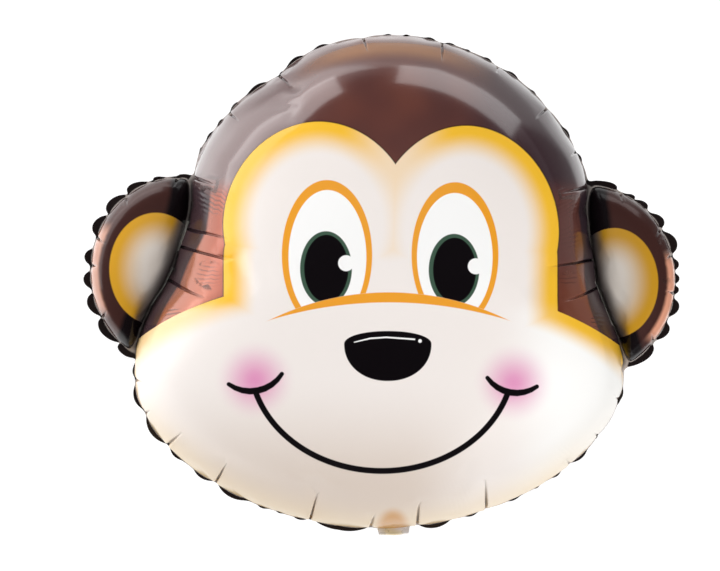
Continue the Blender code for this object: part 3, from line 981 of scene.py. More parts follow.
def ribs_group():
    """Gathers of the taut film: ribs side by side, square to the weld, as strong as their zone says."""
    tree, given, made = group("ribs", {
        "Weld Place": "Vector", "Place": "Vector", "Rib Pitch": ("Float", 0.005), "Zone": "Float"},
        {"Height": "Float"})
    run = parts_of(tree, given["Weld Place"])[0]
    sway = product(tree, calc(tree, "SUBTRACT", noise(tree, given["Place"], SWAY_SCALE), 0.5), SWAY)
    turns = calc(tree, "DIVIDE", calc(tree, "ADD", run, sway), given["Rib Pitch"])
    ribs = calc(tree, "SINE", product(tree, turns, math.tau))
    tree.links.new(product(tree, ribs, given["Zone"]), made["Height"])
    return tree


def waves_group():
    """Long shallow waves of the film, in metres' worth of the bump's distance."""
    tree, given, made = group("waves", {"Place": "Vector", "Amount": ("Float", 0.8)}, {"Height": "Float"})
    waves = calc(tree, "SUBTRACT", noise(tree, given["Place"], WAVE_SCALE, 1.0), 0.5)
    tree.links.new(product(tree, waves, given["Amount"]), made["Height"])
    return tree


OVAL = oval_group()
STROKE = stroke_group()
INK = ink_group()
RIBS = ribs_group()
WAVES = waves_group()

BROWN = (0.094, 0.036, 0.034, 1.0)
BROWN_RIGHT_SHADE = (0.046, 0.023, 0.029, 1.0)
BROWN_EAR = (0.054, 0.021, 0.018, 1.0)
BROWN_WARM = (0.170, 0.056, 0.040, 1.0)
BROWN_SIDE_LIT = (0.350, 0.112, 0.066, 1.0)
BROWN_BY_FACE_LIT = (0.270, 0.062, 0.030, 1.0)
GROOVE_SHADE = (0.090, 0.030, 0.022, 1.0)
BROWN_RIM_REFLECTION = (0.320, 0.135, 0.050, 1.0)
CREAM = (0.850, 0.795, 0.760, 1.0)
YELLOW = (0.880, 0.500, 0.030, 1.0)
PALE_YELLOW = (0.800, 0.610, 0.340, 1.0)
RIM_TAN = (0.700, 0.420, 0.120, 1.0)
ORANGE = (0.830, 0.340, 0.020, 1.0)
WHITE = (0.920, 0.920, 0.910, 1.0)
BLACK = (0.003, 0.002, 0.003, 1.0)
DARK_GREEN = (0.045, 0.095, 0.062, 1.0)
DARK_LINE = (0.030, 0.012, 0.008, 1.0)
PINK = (0.700, 0.210, 0.450, 1.0)
LOWER_FACE_SHADE = (0.600, 0.490, 0.400, 1.0)
RIGHT_CHEEK_LIGHT = (0.930, 0.925, 0.905, 1.0)
NECK_TAN = (0.560, 0.270, 0.060, 1.0)
SILVER = (0.850, 0.780, 0.700, 1.0)
EAR_AMBER = (0.680, 0.350, 0.020, 1.0)
EAR_RIM_LIGHT = (0.600, 0.270, 0.170, 1.0)
EAR_SHADE = (0.200, 0.170, 0.165, 1.0)
CLEFT_SHADE = (0.030, 0.020, 0.026, 1.0)
CORNER_SHADE = (0.006, 0.004, 0.005, 1.0)
MARGIN_SHADE_AND_DARK_BROWN = (0.012, 0.008, 0.008, 1.0)
WELD_HIGHLIGHT = (0.480, 0.430, 0.400, 1.0)
GLINT = (0.560, 0.550, 0.500, 1.0)

INK_EDGE = 0.0005
EAR_INK_EDGE = 0.0008
SHINE_EDGE = 0.0004
OUTLINE_HALF_WIDTH = 0.0006
OUTLINE_COVER = 0.85

# Fades of the print and of the light and shade painted into it, as ramp takes them: from, to, and the amounts
# there where they aren't 0 and 1. Rows and columns are those of the picture, and the rest are distances in
# metres.
EAR_PATCH_FADE = (-0.005, -0.039)
EAR_SHADE_FADE = (0.012, 0.002)
EAR_PATCH_SIDES = (-0.1, 0.1, 1.0, 0.74)
YELLOW_FADE = (-0.036, -0.007)
CHEEK_ROWS = (318, 296)
CHIN_ROWS = (440, 395)
CHIN_SIDES = (0.10, 0.20, 0.6, 1.0)
HEART_NOTCH_COLUMN = 397
HEART_NOTCH_FADE = (0.004, 0.060, 0.40, 1.0)
PALER_SIDE = (0.170, 0.225, 1.0, 0.35)
BEIGE_FADE = (0.110, 0.0, 0.0, 0.85)
BEIGE_HEIGHTS = (-0.100, -0.170, 0.25, 1.0)
TAN_FADE = (0.022, 0.0, 0.0, 0.5)
LOWER_ROWS = (370, 505)
LOWER_AMOUNTS = (0.0, 0.75)
LOWER_COLUMNS = (500, 400)
LOWER_SIDE_AMOUNTS = (0.15, 1.0)
RIGHT_CHEEK_SIDES = (0.110, 0.190)
NECK_PATCH_FADE = (0.004, -0.009)
BLUSH_COVER = 0.85
SIDE_HEIGHTS = (0.120, 0.092)
SIDE_ROWS = (255, 300)
SIDE_AMOUNTS = (0.30, 0.85)
RIGHT_SIDE = (-0.100, 0.150)
RIM_BAND = (0.042, 0.056, 0.064, 0.092)
TOP_BAND = (-0.105, -0.030, 0.040, 0.120)
PATCHES = (0.35, 0.65, 0.35, 1.0)
PATCH_SCALE = 14.0
WARM_SHARE = 0.8
CROWN_RIGHT_SIDE = (0.0, 0.180)
LIT_BAND = (0.004, 0.010, 0.027, 0.034)
LIT_FADE = (0.055, 0.036)
EAR_RIM_LIGHT_SIDES = (-0.1, 0.1, 0.70, 1.35)
BY_FACE_SIDES = (0.200, 0.172)

# The painted shade on the film behind an ear: its width at two heights on the left and on the right, and its
# edge
CLEFT_LEFT = (0.025, 0.060, 0.070, 0.086)
CLEFT_RIGHT = (-0.030, 0.045, 0.086, 0.062)
CLEFT_SIDES = (-0.05, 0.05)
CLEFT_FADE = (0.004, -0.003)
CLEFT_ON_FACE = 0.10
CLEFT_COVER = 0.96
CORNER_FADE = (0.025, 0.017)

# How metallic, rough and coated the film is; pairs are for none and for all of what they are named after
SIDE_METAL = (0.16, 0.58)
INK_ROUGHNESS = (0.20, 0.32)
FACE_COAT = (1.0, 0.45)
SIDE_COAT = (1.0, 0.45)
LIT_COAT = (0.04, 1.0)
EAR_COAT_LOSS = 0.8
LIT_RIM_COAT = 0.6

# Fades of the fine roughness, of the coat to the right and on the crown, of the painted shade in the grooves
# between ribs, of the welds' painted highlight and shade, and of the scallops' painted shade
FINE_ROUGHNESS = (0.3, 0.7, 0.0, 0.05)
RIGHT_COAT = (0.06, 0.18, 1.0, 0.70)
CROWN_HEIGHTS = (0.150, 0.200)
CROWN_DULL = (0.100, 0.040, 0.0, 0.62)
GROOVE_FADE = (-0.10, -0.70, 0.0, 0.7)
INNER_WELD_FADE = (0.006, 0.003)
WELD_FADE = (0.0012, 0.0)
SCALLOP_FADE = (-0.05, -0.4)

# How much the ribs stand out, the depth of the whole relief, and how near its middle a zone of ribs is full
HEAD_RELIEF = 0.15
EAR_RELIEF = 0.28
RELIEF_DEPTH = 0.0009
RIBS_FULL = 0.4

# Printed shapes as the picture shows them: middle in the picture, then half width and heights in metres
HEART_LOBES = ((319, 225, 0.100, 0.108), (466, 232, 0.097, 0.111))
HEART_SIDES = (390.5, 290, 0.1740, 0.062)
HEART_ROUNDNESS = 1.95
SIDES_ROUNDNESS = 9.0
CHEEKS = (384, 426, 0.3016, 0.156, 0.4)
CHEEK_SLOPE = 0.03
EAR_PATCHES = ((156, 269, 0.0485, 0.0585), (614, 283, 0.0460, 0.0572))
EYES = ((327, 255, 0.0470, 0.0780), (455, 255, 0.0452, 0.0757))
EYE_WHITES = ((327.4, 257, 0.0405, 0.0697), (454.8, 257, 0.0393, 0.0666))
PUPILS = ((326, 268.5, 0.0270, 0.0388), (454, 270, 0.0263, 0.0376))
PUPIL_BLACKS = ((326.3, 268.5, 0.0230, 0.0350), (454.6, 270, 0.0224, 0.0336))
EYE_SPARKS = ((346.1, 263.2, 0.0083, 0.0083), (475.8, 266.3, 0.0083, 0.0083))
BROW_TOP = (388.8, 563.3, 0.2818, 0.2818)
BROW_BOTTOM = (388.8, 712.4, 0.4264, 0.4264)
BROW_LOWEST = 322
BLUSHES = ((255, 380, 0.044, 0.044), (514, 383, 0.044, 0.044))
NOSE = (387.8, 344, 0.0454, 0.0135, 0.0385)
NOSE_ROUNDNESS = 2.1
SMILE = (381.9, 360, 0.1371, 0.1154)
SMILE_WIDTH = 0.0062
SMILE_TOP = 390
DIMPLES = ((250.5, 354.3, 37.0, 126, 32), (516.5, 357.5, 35.5, 145, 55))
DIMPLE_STEPS = 9
DIMPLE_THIN = 0.0045
DIMPLE_THICK = 0.0070
NOSE_SHINE = ((354.4, 342.2), (370, 338.4), (386.6, 337.3), (414.5, 339.3))
NOSE_SHINE_WIDTHS = (0.001, 0.0016, 0.0016, 0.0016)
NOSE_DOT = (420, 341, 0.0019, 0.0019)
NECK_PATCH = (393, 533, 0.0190, 0.0250)

# Middles of the stretches of the ears' rims that catch the light, where a painted highlight is laid
EAR_LIT = ((92, 269), (674, 300))

# Painted glints where the inner welds catch the light: two ends in the picture and the width in metres
WELD_GLINTS = (((188, 222), (178, 250), 0.0022), ((172.6, 268), (164, 286), 0.0010),
               ((164, 286), (151.5, 304.5), 0.0010), ((595.5, 282), (612.5, 325), 0.0010))

# Where the gathered film stands in ribs: middle in the picture, reach in metres and how strong
HEAD_RIBS = ((213, 196, 0.026, 1.0), (208, 275, 0.018, 0.6), (174, 316, 0.013, 0.8), (262, 100, 0.026, 0.22),
             (566, 204, 0.020, 1.0), (567, 238, 0.018, 0.8), (568, 277, 0.014, 0.8), (598, 320, 0.011, 0.8),
             (192, 448, 0.020, 0.12), (455, 495, 0.024, 0.12), (565, 455, 0.014, 0.2))
EAR_RIBS = ((666, 246, 0.013, 0.30), (668, 277, 0.010, 0.25))
HEAD_RIB_PITCH = 0.0054
EAR_RIB_PITCH = 0.0038


def spot(x, y):
    return (*picture(x, y), 0.0)


def heights(rows):
    """Heights in the print of rows of the picture."""
    return [picture(0, y)[1] for y in rows]


def sides(columns):
    """Places across the print of columns of the picture."""
    return [picture(x, 0)[0] for x in columns]


def printed_oval(tree, place, shape, roundness=2.0):
    """An oval's edge, from its middle in the picture, half width, height above and height below."""
    x, y, half_width, above, *below = shape
    return use(tree, OVAL, Place=place, Centre=spot(x, y), Half_Width=half_width, Above=above,
               Below=below[0] if below else above, Roundness=roundness)["Edge"]


def strokes(tree, place, points, widths):
    edges = []
    for start, end, start_width, end_width in zip(points, points[1:], widths, widths[1:]):
        edges.append(use(tree, STROKE, Place=place, Start=spot(*start), End=spot(*end),
                         Start_Width=start_width, End_Width=end_width)["Edge"])
    return smallest(tree, *edges)


def arc(x, y, radius, start, end, count):
    """Points along an arc in the picture, its directions in degrees clockwise from the right."""
    directions = [math.radians(start + (end - start) * step / (count - 1)) for step in range(count)]
    return [(x + radius * math.cos(a), y + radius * math.sin(a)) for a in directions]


def outside(tree, edge):
    return product(tree, edge, -1.0)


def ink(tree, under, colour, edge, softness=INK_EDGE, cover=1.0):
    return use(tree, INK, Under=under, Ink=colour, Edge=edge, Softness=softness, Cover=cover)


def attribute(tree, name, output="Vector"):
    node = tree.nodes.new("ShaderNodeAttribute")
    node.attribute_name = name
    return node.outputs[output]


def print_place(tree, where):
    """Where a point of the film lies in the print, which is drawn to look right from in front of the face."""
    at = parts_of(tree, vector(tree, "SUBTRACT", where, (top_of_face.x, top_of_face.y, weld_height)))
    nearer = calc(tree, "DIVIDE", CAMERA_DISTANCE, calc(tree, "SUBTRACT", CAMERA_DISTANCE, at[2]))
    flat = tree.nodes.new("ShaderNodeCombineXYZ")
    for side, middle in enumerate(picture(*PICTURE_MIDDLE)):
        away = product(tree, calc(tree, "SUBTRACT", at[side], middle), nearer)
        tree.links.new(calc(tree, "ADD", away, middle), flat.inputs[side])
    return flat.outputs[0]


def on_ears(tree, weld):
    """1 on an ear's film, 0 on the head's."""
    return calc(tree, "GREATER_THAN", weld[2], EAR_LEAST / 2)


def behind_ears(tree, weld):
    """1 on the head's film behind an ear, fading to 0 past its ends."""
    return calc(tree, "MULTIPLY", weld[2], -1.0, clamp=True)


def printed_face(tree, brown, place, weld_place):
    """The whole print with painted light and shade laid in: its colour, and masks of the face and the ears'
    patches.
    """
    across, height = parts_of(tree, place)[:2]
    weld = parts_of(tree, weld_place)
    on_ear = on_ears(tree, weld)

    lean = tree.nodes.new("ShaderNodeCombineXYZ")
    tree.links.new(across, lean.inputs[0])
    tree.links.new(calc(tree, "ADD", height, product(tree, across, CHEEK_SLOPE)), lean.inputs[1])
    heart = smallest(tree, *[printed_oval(tree, place, lobe, HEART_ROUNDNESS) for lobe in HEART_LOBES])
    heart = smallest(tree, heart, printed_oval(tree, place, HEART_SIDES, SIDES_ROUNDNESS))
    face = smallest(tree, heart, printed_oval(tree, lean.outputs[0], CHEEKS))
    face = calc(tree, "ADD", face, on_ear)

    ear = smallest(tree, *[printed_oval(tree, place, patch) for patch in EAR_PATCHES])
    ear = calc(tree, "ADD", ear, rest_of(tree, on_ear))
    ear_colour = blend_colours(tree, ramp(tree, ear, *EAR_PATCH_FADE), EAR_AMBER, SILVER)
    # Painted shade: the ears' patches darken towards the inner weld, and the right ear's patch is darker all
    # over.
    ear_colour = blend_colours(tree, ramp(tree, weld[2], *EAR_SHADE_FADE), ear_colour, EAR_SHADE)
    ear_colour = vector(tree, "SCALE", ear_colour, scale=ramp(tree, across, *EAR_PATCH_SIDES))
    colour = ink(tree, brown, ear_colour, ear, EAR_INK_EDGE)
    ear_mask = colour["Mask"]

    on_cheeks = ramp(tree, height, *heights(CHEEK_ROWS))
    by_chin = ramp(tree, height, *heights(CHIN_ROWS), 0.0, ramp(tree, across, *CHIN_SIDES))
    from_notch = calc(tree, "ABSOLUTE", calc(tree, "SUBTRACT", across, *sides([HEART_NOTCH_COLUMN])))
    yellow = product(tree, ramp(tree, face, *YELLOW_FADE), ramp(tree, on_cheeks, 0.0, 1.0, by_chin, 1.0),
                     ramp(tree, from_notch, *HEART_NOTCH_FADE))
    paler = ramp(tree, across, *PALER_SIDE)
    beige = product(tree, ramp(tree, weld[1], *BEIGE_FADE), paler, ramp(tree, height, *BEIGE_HEIGHTS))
    # Painted shade: the lower face darkens towards the bottom, most on the left.
    lower_shade = product(tree, ramp(tree, height, *heights(LOWER_ROWS), *LOWER_AMOUNTS),
                    ramp(tree, across, *sides(LOWER_COLUMNS), *LOWER_SIDE_AMOUNTS))
    # Painted light: the right cheek is laid in a paler, whiter cream.
    right_cheek_light = product(tree, ramp(tree, across, *RIGHT_CHEEK_SIDES), rest_of(tree, on_cheeks))
    face_colour = blend_colours(tree, right_cheek_light, CREAM, RIGHT_CHEEK_LIGHT)
    face_colour = blend_colours(tree, lower_shade, face_colour, LOWER_FACE_SHADE)
    face_colour = blend_colours(tree, beige, face_colour, PALE_YELLOW)
    tan = product(tree, ramp(tree, weld[1], *TAN_FADE), paler)
    face_colour = blend_colours(tree, tan, face_colour, RIM_TAN)
    by_neck = ramp(tree, printed_oval(tree, place, NECK_PATCH), *NECK_PATCH_FADE)
    face_colour = blend_colours(tree, by_neck, face_colour, NECK_TAN)
    face_colour = blend_colours(tree, yellow, face_colour, YELLOW)
    for blush in BLUSHES:
        cover = ramp(tree, printed_oval(tree, place, blush), 0.0, -blush[2], 0.0, BLUSH_COVER)
        face_colour = blend_colours(tree, cover, face_colour, PINK)
    colour = ink(tree, colour["Colour"], face_colour, face)
    face_mask = colour["Mask"]
    outline = calc(tree, "SUBTRACT", calc(tree, "ABSOLUTE", face), OUTLINE_HALF_WIDTH)
    cover = product(tree, on_cheeks, OUTLINE_COVER)
    colour = ink(tree, colour["Colour"], DARK_LINE, outline, cover=cover)

    brow_top = printed_oval(tree, place, BROW_TOP)
    above_brow = outside(tree, brow_top)
    for eye, white, pupil, black, spark in zip(EYES, EYE_WHITES, PUPILS, PUPIL_BLACKS, EYE_SPARKS):
        for shape, ink_colour in ((eye, ORANGE), (white, WHITE), (pupil, DARK_GREEN), (black, BLACK),
                                  (spark, WHITE)):
            edge = largest(tree, printed_oval(tree, place, shape), above_brow)
            colour = ink(tree, colour["Colour"], ink_colour, edge)
    brow = largest(tree, brow_top, outside(tree, printed_oval(tree, place, BROW_BOTTOM)),
                   calc(tree, "SUBTRACT", *heights([BROW_LOWEST]), height))
    colour = ink(tree, colour["Colour"], ORANGE, brow)

    nose = printed_oval(tree, place, NOSE, NOSE_ROUNDNESS)
    shine = smallest(tree, strokes(tree, place, NOSE_SHINE, NOSE_SHINE_WIDTHS),
                     printed_oval(tree, place, NOSE_DOT))
    smile = calc(tree, "SUBTRACT", calc(tree, "ABSOLUTE", printed_oval(tree, place, SMILE)), SMILE_WIDTH / 2)
    smile = largest(tree, smile, calc(tree, "SUBTRACT", height, *heights([SMILE_TOP])))
    swell = [math.sin(math.pi * step / (DIMPLE_STEPS - 1)) for step in range(DIMPLE_STEPS)]
    widths = [DIMPLE_THIN + (DIMPLE_THICK - DIMPLE_THIN) * share for share in swell]
    dimples = [strokes(tree, place, arc(*dimple, DIMPLE_STEPS), widths) for dimple in DIMPLES]
    colour = ink(tree, colour["Colour"], BLACK, smallest(tree, nose, smile, *dimples))
    colour = ink(tree, colour["Colour"], WHITE, shine, SHINE_EDGE)
    return colour["Colour"], face_mask, ear_mask


def brown_print(tree, place, weld_place):
    """The brown: dark on the crown and ears; painted light makes it paler and warmer at the head's sides and
    rim.
    """
    across, height = parts_of(tree, place)[:2]
    weld = parts_of(tree, weld_place)
    on_head = rest_of(tree, on_ears(tree, weld))
    # Painted light: the sides of the head are laid in a paler, warmer lit brown, weaker high on the right.
    low_right = ramp(tree, height, *heights(SIDE_ROWS), *SIDE_AMOUNTS)
    side = product(tree, ramp(tree, height, *SIDE_HEIGHTS), on_head,
                   ramp(tree, across, *RIGHT_SIDE, 1.0, low_right))
    on_top = band(tree, across, *TOP_BAND)
    patchy = ramp(tree, noise(tree, place, PATCH_SCALE, 1.0), *PATCHES)
    warm = product(tree, on_top, product(tree, patchy, WARM_SHARE))
    # Painted reflection: a paler, warmer band along the rim of the crown.
    rim_reflection = product(tree, band(tree, weld[1], *RIM_BAND), on_top)
    # Painted shade: the crown's brown is darker towards the right.
    colour = blend_colours(tree, ramp(tree, across, *CROWN_RIGHT_SIDE), BROWN, BROWN_RIGHT_SHADE)
    colour = blend_colours(tree, warm, colour, BROWN_WARM)
    colour = blend_colours(tree, rim_reflection, colour, BROWN_RIM_REFLECTION)
    # Painted highlight: a lit tan on the stretches of the ears' rims that catch the light, stronger on the
    # right ear.
    to_lit = smallest(tree, *[vector(tree, "DISTANCE", place, spot(*middle)) for middle in EAR_LIT])
    lit_rim = product(tree, band(tree, weld[1], *LIT_BAND), ramp(tree, to_lit, *LIT_FADE))
    ear_rim_light = vector(tree, "SCALE", EAR_RIM_LIGHT[:3], scale=ramp(tree, across, *EAR_RIM_LIGHT_SIDES))
    colour = blend_colours(tree, on_head, blend_colours(tree, lit_rim, BROWN_EAR, ear_rim_light), colour)
    by_face = ramp(tree, calc(tree, "ABSOLUTE", across), *BY_FACE_SIDES)
    lit_side_colour = blend_colours(tree, by_face, BROWN_SIDE_LIT, BROWN_BY_FACE_LIT)
    return blend_colours(tree, side, colour, lit_side_colour), side, lit_rim


def cleft(tree, place, weld_place, ear_mask, face_mask):
    """Painted shade where little light comes in: the steep film behind an ear with the folds, and the inner
    corners.
    """
    across, height = parts_of(tree, place)[:2]
    weld = parts_of(tree, weld_place)
    edge = ramp(tree, across, *CLEFT_SIDES, ramp(tree, height, *CLEFT_LEFT), ramp(tree, height, *CLEFT_RIGHT))
    past_edge = calc(tree, "SUBTRACT", weld[1], edge)
    steep_shade = product(tree, behind_ears(tree, weld), ramp(tree, past_edge, *CLEFT_FADE),
                    ramp(tree, face_mask, 0.0, 1.0, 1.0, CLEFT_ON_FACE))
    corner = product(tree, on_ears(tree, weld), ramp(tree, weld[2], *CORNER_FADE), rest_of(tree, ear_mask))
    fold = calc(tree, "MULTIPLY", attribute(tree, "fold", "Fac"), 1.0, clamp=True)
    return largest(tree, steep_shade, fold), corner


def rib_zone(tree, place, zones):
    """How strongly the film is ribbed at a place, from a list of round zones."""
    amounts = []
    for x, y, reach, strength in zones:
        away = vector(tree, "DISTANCE", place, spot(x, y))
        amounts.append(ramp(tree, away, reach, reach * RIBS_FULL, 0.0, strength))
    return largest(tree, *amounts)


def shader_of(name):
    made = bpy.data.materials.new(name)
    made.use_nodes = True
    return made, made.node_tree, made.node_tree.nodes["Principled BSDF"]


def bump(tree, shader, height, distance):
    node = tree.nodes.new("ShaderNodeBump")
    node.inputs["Strength"].default_value = 1.0
    node.inputs["Distance"].default_value = distance
    tree.links.new(height, node.inputs["Height"])
    tree.links.new(node.outputs["Normal"], shader.inputs["Normal"])


def front_material():
    """Printed film: brown metal that mirrors the room, and glossy opaque ink on the face, with painted light
    and shade.
    """
    made, tree, shader = shader_of("printed foil")
    weld_place = attribute(tree, "weld_place")
    where = tree.nodes.new("ShaderNodeTexCoord").outputs["Object"]
    place = print_place(tree, where)
    across, height = parts_of(tree, place)[:2]
    weld = parts_of(tree, weld_place)
    on_ear = on_ears(tree, weld)
    brown, side, lit_rim = brown_print(tree, place, weld_place)
    colour, face_mask, ear_mask = printed_face(tree, brown, place, weld_place)
    head_zone = product(tree, rib_zone(tree, place, HEAD_RIBS), rest_of(tree, on_ear))
    ribs = use(tree, RIBS, Weld_Place=weld_place, Place=where, Rib_Pitch=HEAD_RIB_PITCH, Zone=head_zone)
    # Painted shade in the grooves between the ribs on the sides of the head.
    groove_shade = product(tree, ramp(tree, ribs["Height"], *GROOVE_FADE), side, rest_of(tree, face_mask))
    colour = blend_colours(tree, groove_shade, colour, GROOVE_SHADE)
    painted_shade, corner = cleft(tree, place, weld_place, ear_mask, face_mask)
    # Painted shade behind the ears, in the folds and in the ears' inner corners.
    colour = blend_colours(tree, product(tree, painted_shade, CLEFT_COVER), colour, CLEFT_SHADE)
    colour = blend_colours(tree, corner, colour, CORNER_SHADE)
    painted_shade = largest(tree, painted_shade, corner)
    # Painted highlight along the rim's weld line, and painted shade along the inner welds.
    inner = product(tree, ramp(tree, weld[2], *INNER_WELD_FADE), on_ear)
    inner = largest(tree, inner, behind_ears(tree, weld))
    weld_highlight_and_shade = blend_colours(tree, inner, WELD_HIGHLIGHT, MARGIN_SHADE_AND_DARK_BROWN)
    colour = blend_colours(tree, ramp(tree, weld[1], *WELD_FADE), colour, weld_highlight_and_shade)
    # Painted shade: the flat margin past the weld is laid near black.
    scallop = ramp(tree, weld[1], *SCALLOP_FADE)
    colour = blend_colours(tree, scallop, colour, MARGIN_SHADE_AND_DARK_BROWN)
    # Painted glints where the inner welds catch the light.
    for start, end, width in WELD_GLINTS:
        colour = ink(tree, colour, GLINT, strokes(tree, place, (start, end), (width, width)))["Colour"]
    tree.links.new(colour, shader.inputs["Base Color"])

    opaque = largest(tree, face_mask, ear_mask)
    lit = rest_of(tree, largest(tree, painted_shade, scallop))
    bare = product(tree, rest_of(tree, opaque), lit)
    metal = product(tree, bare, ramp(tree, side, 0.0, 1.0, *SIDE_METAL))
    tree.links.new(metal, shader.inputs["Metallic"])
    rough = ramp(tree, opaque, 0.0, 1.0, *INK_ROUGHNESS, smooth=False)
    rough = calc(tree, "ADD", rough, ramp(tree, noise(tree, where, 40.0), *FINE_ROUGHNESS))
    tree.links.new(rough, shader.inputs["Roughness"])
    shader.inputs["Specular IOR Level"].default_value = 0.2
    gloss = product(tree, ramp(tree, face_mask, 0.0, 1.0, *FACE_COAT), ramp(tree, lit, 0.0, 1.0, *LIT_COAT))
    of_ear = largest(tree, rest_of(tree, product(tree, on_ear, EAR_COAT_LOSS)),
                     product(tree, lit_rim, LIT_RIM_COAT))
    of_side = product(tree, ramp(tree, side, 0.0, 1.0, *SIDE_COAT), ramp(tree, across, *RIGHT_COAT))
    crown = product(tree, ramp(tree, height, *CROWN_HEIGHTS), ramp(tree, weld[1], *CROWN_DULL))
    of_place = product(tree, of_side, rest_of(tree, crown))
    tree.links.new(product(tree, gloss, product(tree, of_ear, of_place)), shader.inputs["Coat Weight"])
    shader.inputs["Coat Roughness"].default_value = 0.11
    shader.inputs["Coat IOR"].default_value = 1.7
    ear_zone = product(tree, rib_zone(tree, place, EAR_RIBS), on_ear)
    fine = use(tree, RIBS, Weld_Place=weld_place, Place=where, Rib_Pitch=EAR_RIB_PITCH, Zone=ear_zone)
    waves = use(tree, WAVES, Place=where)
    relief = calc(tree, "ADD", product(tree, ribs["Height"], HEAD_RELIEF),
                  calc(tree, "ADD", product(tree, fine["Height"], EAR_RELIEF), waves["Height"]))
    bump(tree, shader, relief, RELIEF_DEPTH)
    return made


front.data.materials.append(front_material())
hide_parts("front_panel")
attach(front, "root")


# Back sheet
# The back is the same film cut to the same outline, with one plain colour of transparent brown over the
# metal. It is blown up like the front, and where it rests on the floor it is pressed flat.

BACK_BROWN = (0.110, 0.045, 0.034, 1.0)
BACK_RIB_BAND = (0.008, 0.028, 0.040, 0.070)
BACK_RIB_SCALE = 11.0
BACK_RIB_PATCHES = (0.50, 0.62, 0.0, 0.22)


def back_material():
    """Unprinted side: one dark brown over bare metal."""
    made, tree, shader = shader_of("plain brown foil")
    weld_place = attribute(tree, "weld_place")
    where = tree.nodes.new("ShaderNodeTexCoord").outputs["Object"]
    mottle = ramp(tree, noise(tree, where, 9.0), 0.3, 0.7)
    tree.links.new(blend_colours(tree, mottle, BACK_BROWN, MARGIN_SHADE_AND_DARK_BROWN), shader.inputs["Base Color"])
    shader.inputs["Metallic"].default_value = 0.92
    tree.links.new(ramp(tree, noise(tree, where, 40.0), 0.3, 0.7, 0.18, 0.25), shader.inputs["Roughness"])
    shader.inputs["Specular IOR Level"].default_value = 0.2
    shader.inputs["Coat Weight"].default_value = 1.0
    shader.inputs["Coat Roughness"].default_value = 0.06
    shader.inputs["Coat IOR"].default_value = 1.5
    gathered = product(tree, band(tree, parts_of(tree, weld_place)[1], *BACK_RIB_BAND),
                       ramp(tree, noise(tree, where, BACK_RIB_SCALE, 1.0), *BACK_RIB_PATCHES))
    ribs = use(tree, RIBS, Weld_Place=weld_place, Place=where, Rib_Pitch=HEAD_RIB_PITCH, Zone=gathered)
    waves = use(tree, WAVES, Place=where)
    bump(tree, shader, calc(tree, "ADD", ribs["Height"], waves["Height"]), RELIEF_DEPTH)
    return made


back = sheet_object("plain_back_sheet", -1)
back.data.materials.append(back_material())
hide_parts("back_panel")
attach(back, "root")


# Filling neck
# A flat tube of both films, welded along its two sides, through which the balloon is filled. It leaves the
# rim under the chin, turns down round the edge of the weld and hangs behind it.

NECK_WIDTH = 0.028
NECK_LENGTH = 0.058
NECK_FLARE = 0.003
NECK_BEND = 0.003
NECK_RUN_OUT = 0.0035
NECK_THICKNESS = 0.0008
NECK_ROWS = 40
NECK_COLUMNS = 24
NECK_PUFF = 0.0016
NECK_PUFF_END = 1.2
NECK_WAVE = 0.0008
NECK_WAVES_ACROSS = 7.0
NECK_WAVES_ALONG = 5.0
NECK_SHARP_ANGLE = 60.0
NECK_CREAM = (0.780, 0.640, 0.400, 1.0)


def neck_object():
    direction = math.radians(sum(NECK_BETWEEN) / 2)
    outward = np.array([math.cos(direction), math.sin(direction)])
    sideways = np.array([-outward[1], outward[0]])
    root = float(at_angle(rim_edge, direction)) - 2 * WELD_INSET
    bend_length = NECK_BEND * math.pi / 2
    mesh = bmesh.new()
    rings = []
    for row in range(NECK_ROWS + 1):
        share = row / NECK_ROWS
        along = share * (NECK_LENGTH + WELD_INSET)
        turned = min(max((along - NECK_RUN_OUT - WELD_INSET) / bend_length, 0.0), 1.0) * math.pi / 2
        out = min(along, NECK_RUN_OUT + WELD_INSET) + NECK_BEND * math.sin(turned)
        down = NECK_BEND * (1 - math.cos(turned))
        down += max(along - NECK_RUN_OUT - WELD_INSET - bend_length, 0.0)
        half = NECK_WIDTH / 2 + NECK_FLARE * (2 * share - 1) ** 2
        ring = []
        for face in (1, -1):
            for column in range(NECK_COLUMNS + 1):
                across = (2 * column / NECK_COLUMNS - 1) * face
                puff = NECK_PUFF * (1 - across ** 2) * math.sin(math.pi * min(share * NECK_PUFF_END, 1.0))
                turns = across * NECK_WAVES_ACROSS + share * NECK_WAVES_ALONG
                wave = NECK_WAVE * share * math.sin(turns)
                lift = face * (NECK_THICKNESS / 2 + puff) + wave
                place = outward * (root + out + lift * math.sin(turned)) + sideways * across * half
                ring.append(mesh.verts.new((place[0] + top_of_face.x, place[1] + top_of_face.y,
                                            weld_height - down + lift * math.cos(turned))))
        rings.append(ring)
    for near, far in zip(rings, rings[1:]):
        for i in range(len(near)):
            j = (i + 1) % len(near)
            mesh.faces.new((near[i], near[j], far[j], far[i]))
    mesh.faces.new(rings[0])
    mesh.faces.new(rings[-1])
    bmesh.ops.recalc_face_normals(mesh, faces=mesh.faces)
    data = bpy.data.meshes.new("filling_neck_film")
    mesh.to_mesh(data)
    mesh.free()
    data.shade_smooth()
    data.set_sharp_from_angle(angle=math.radians(NECK_SHARP_ANGLE))
    return placed("filling_neck_film", data)


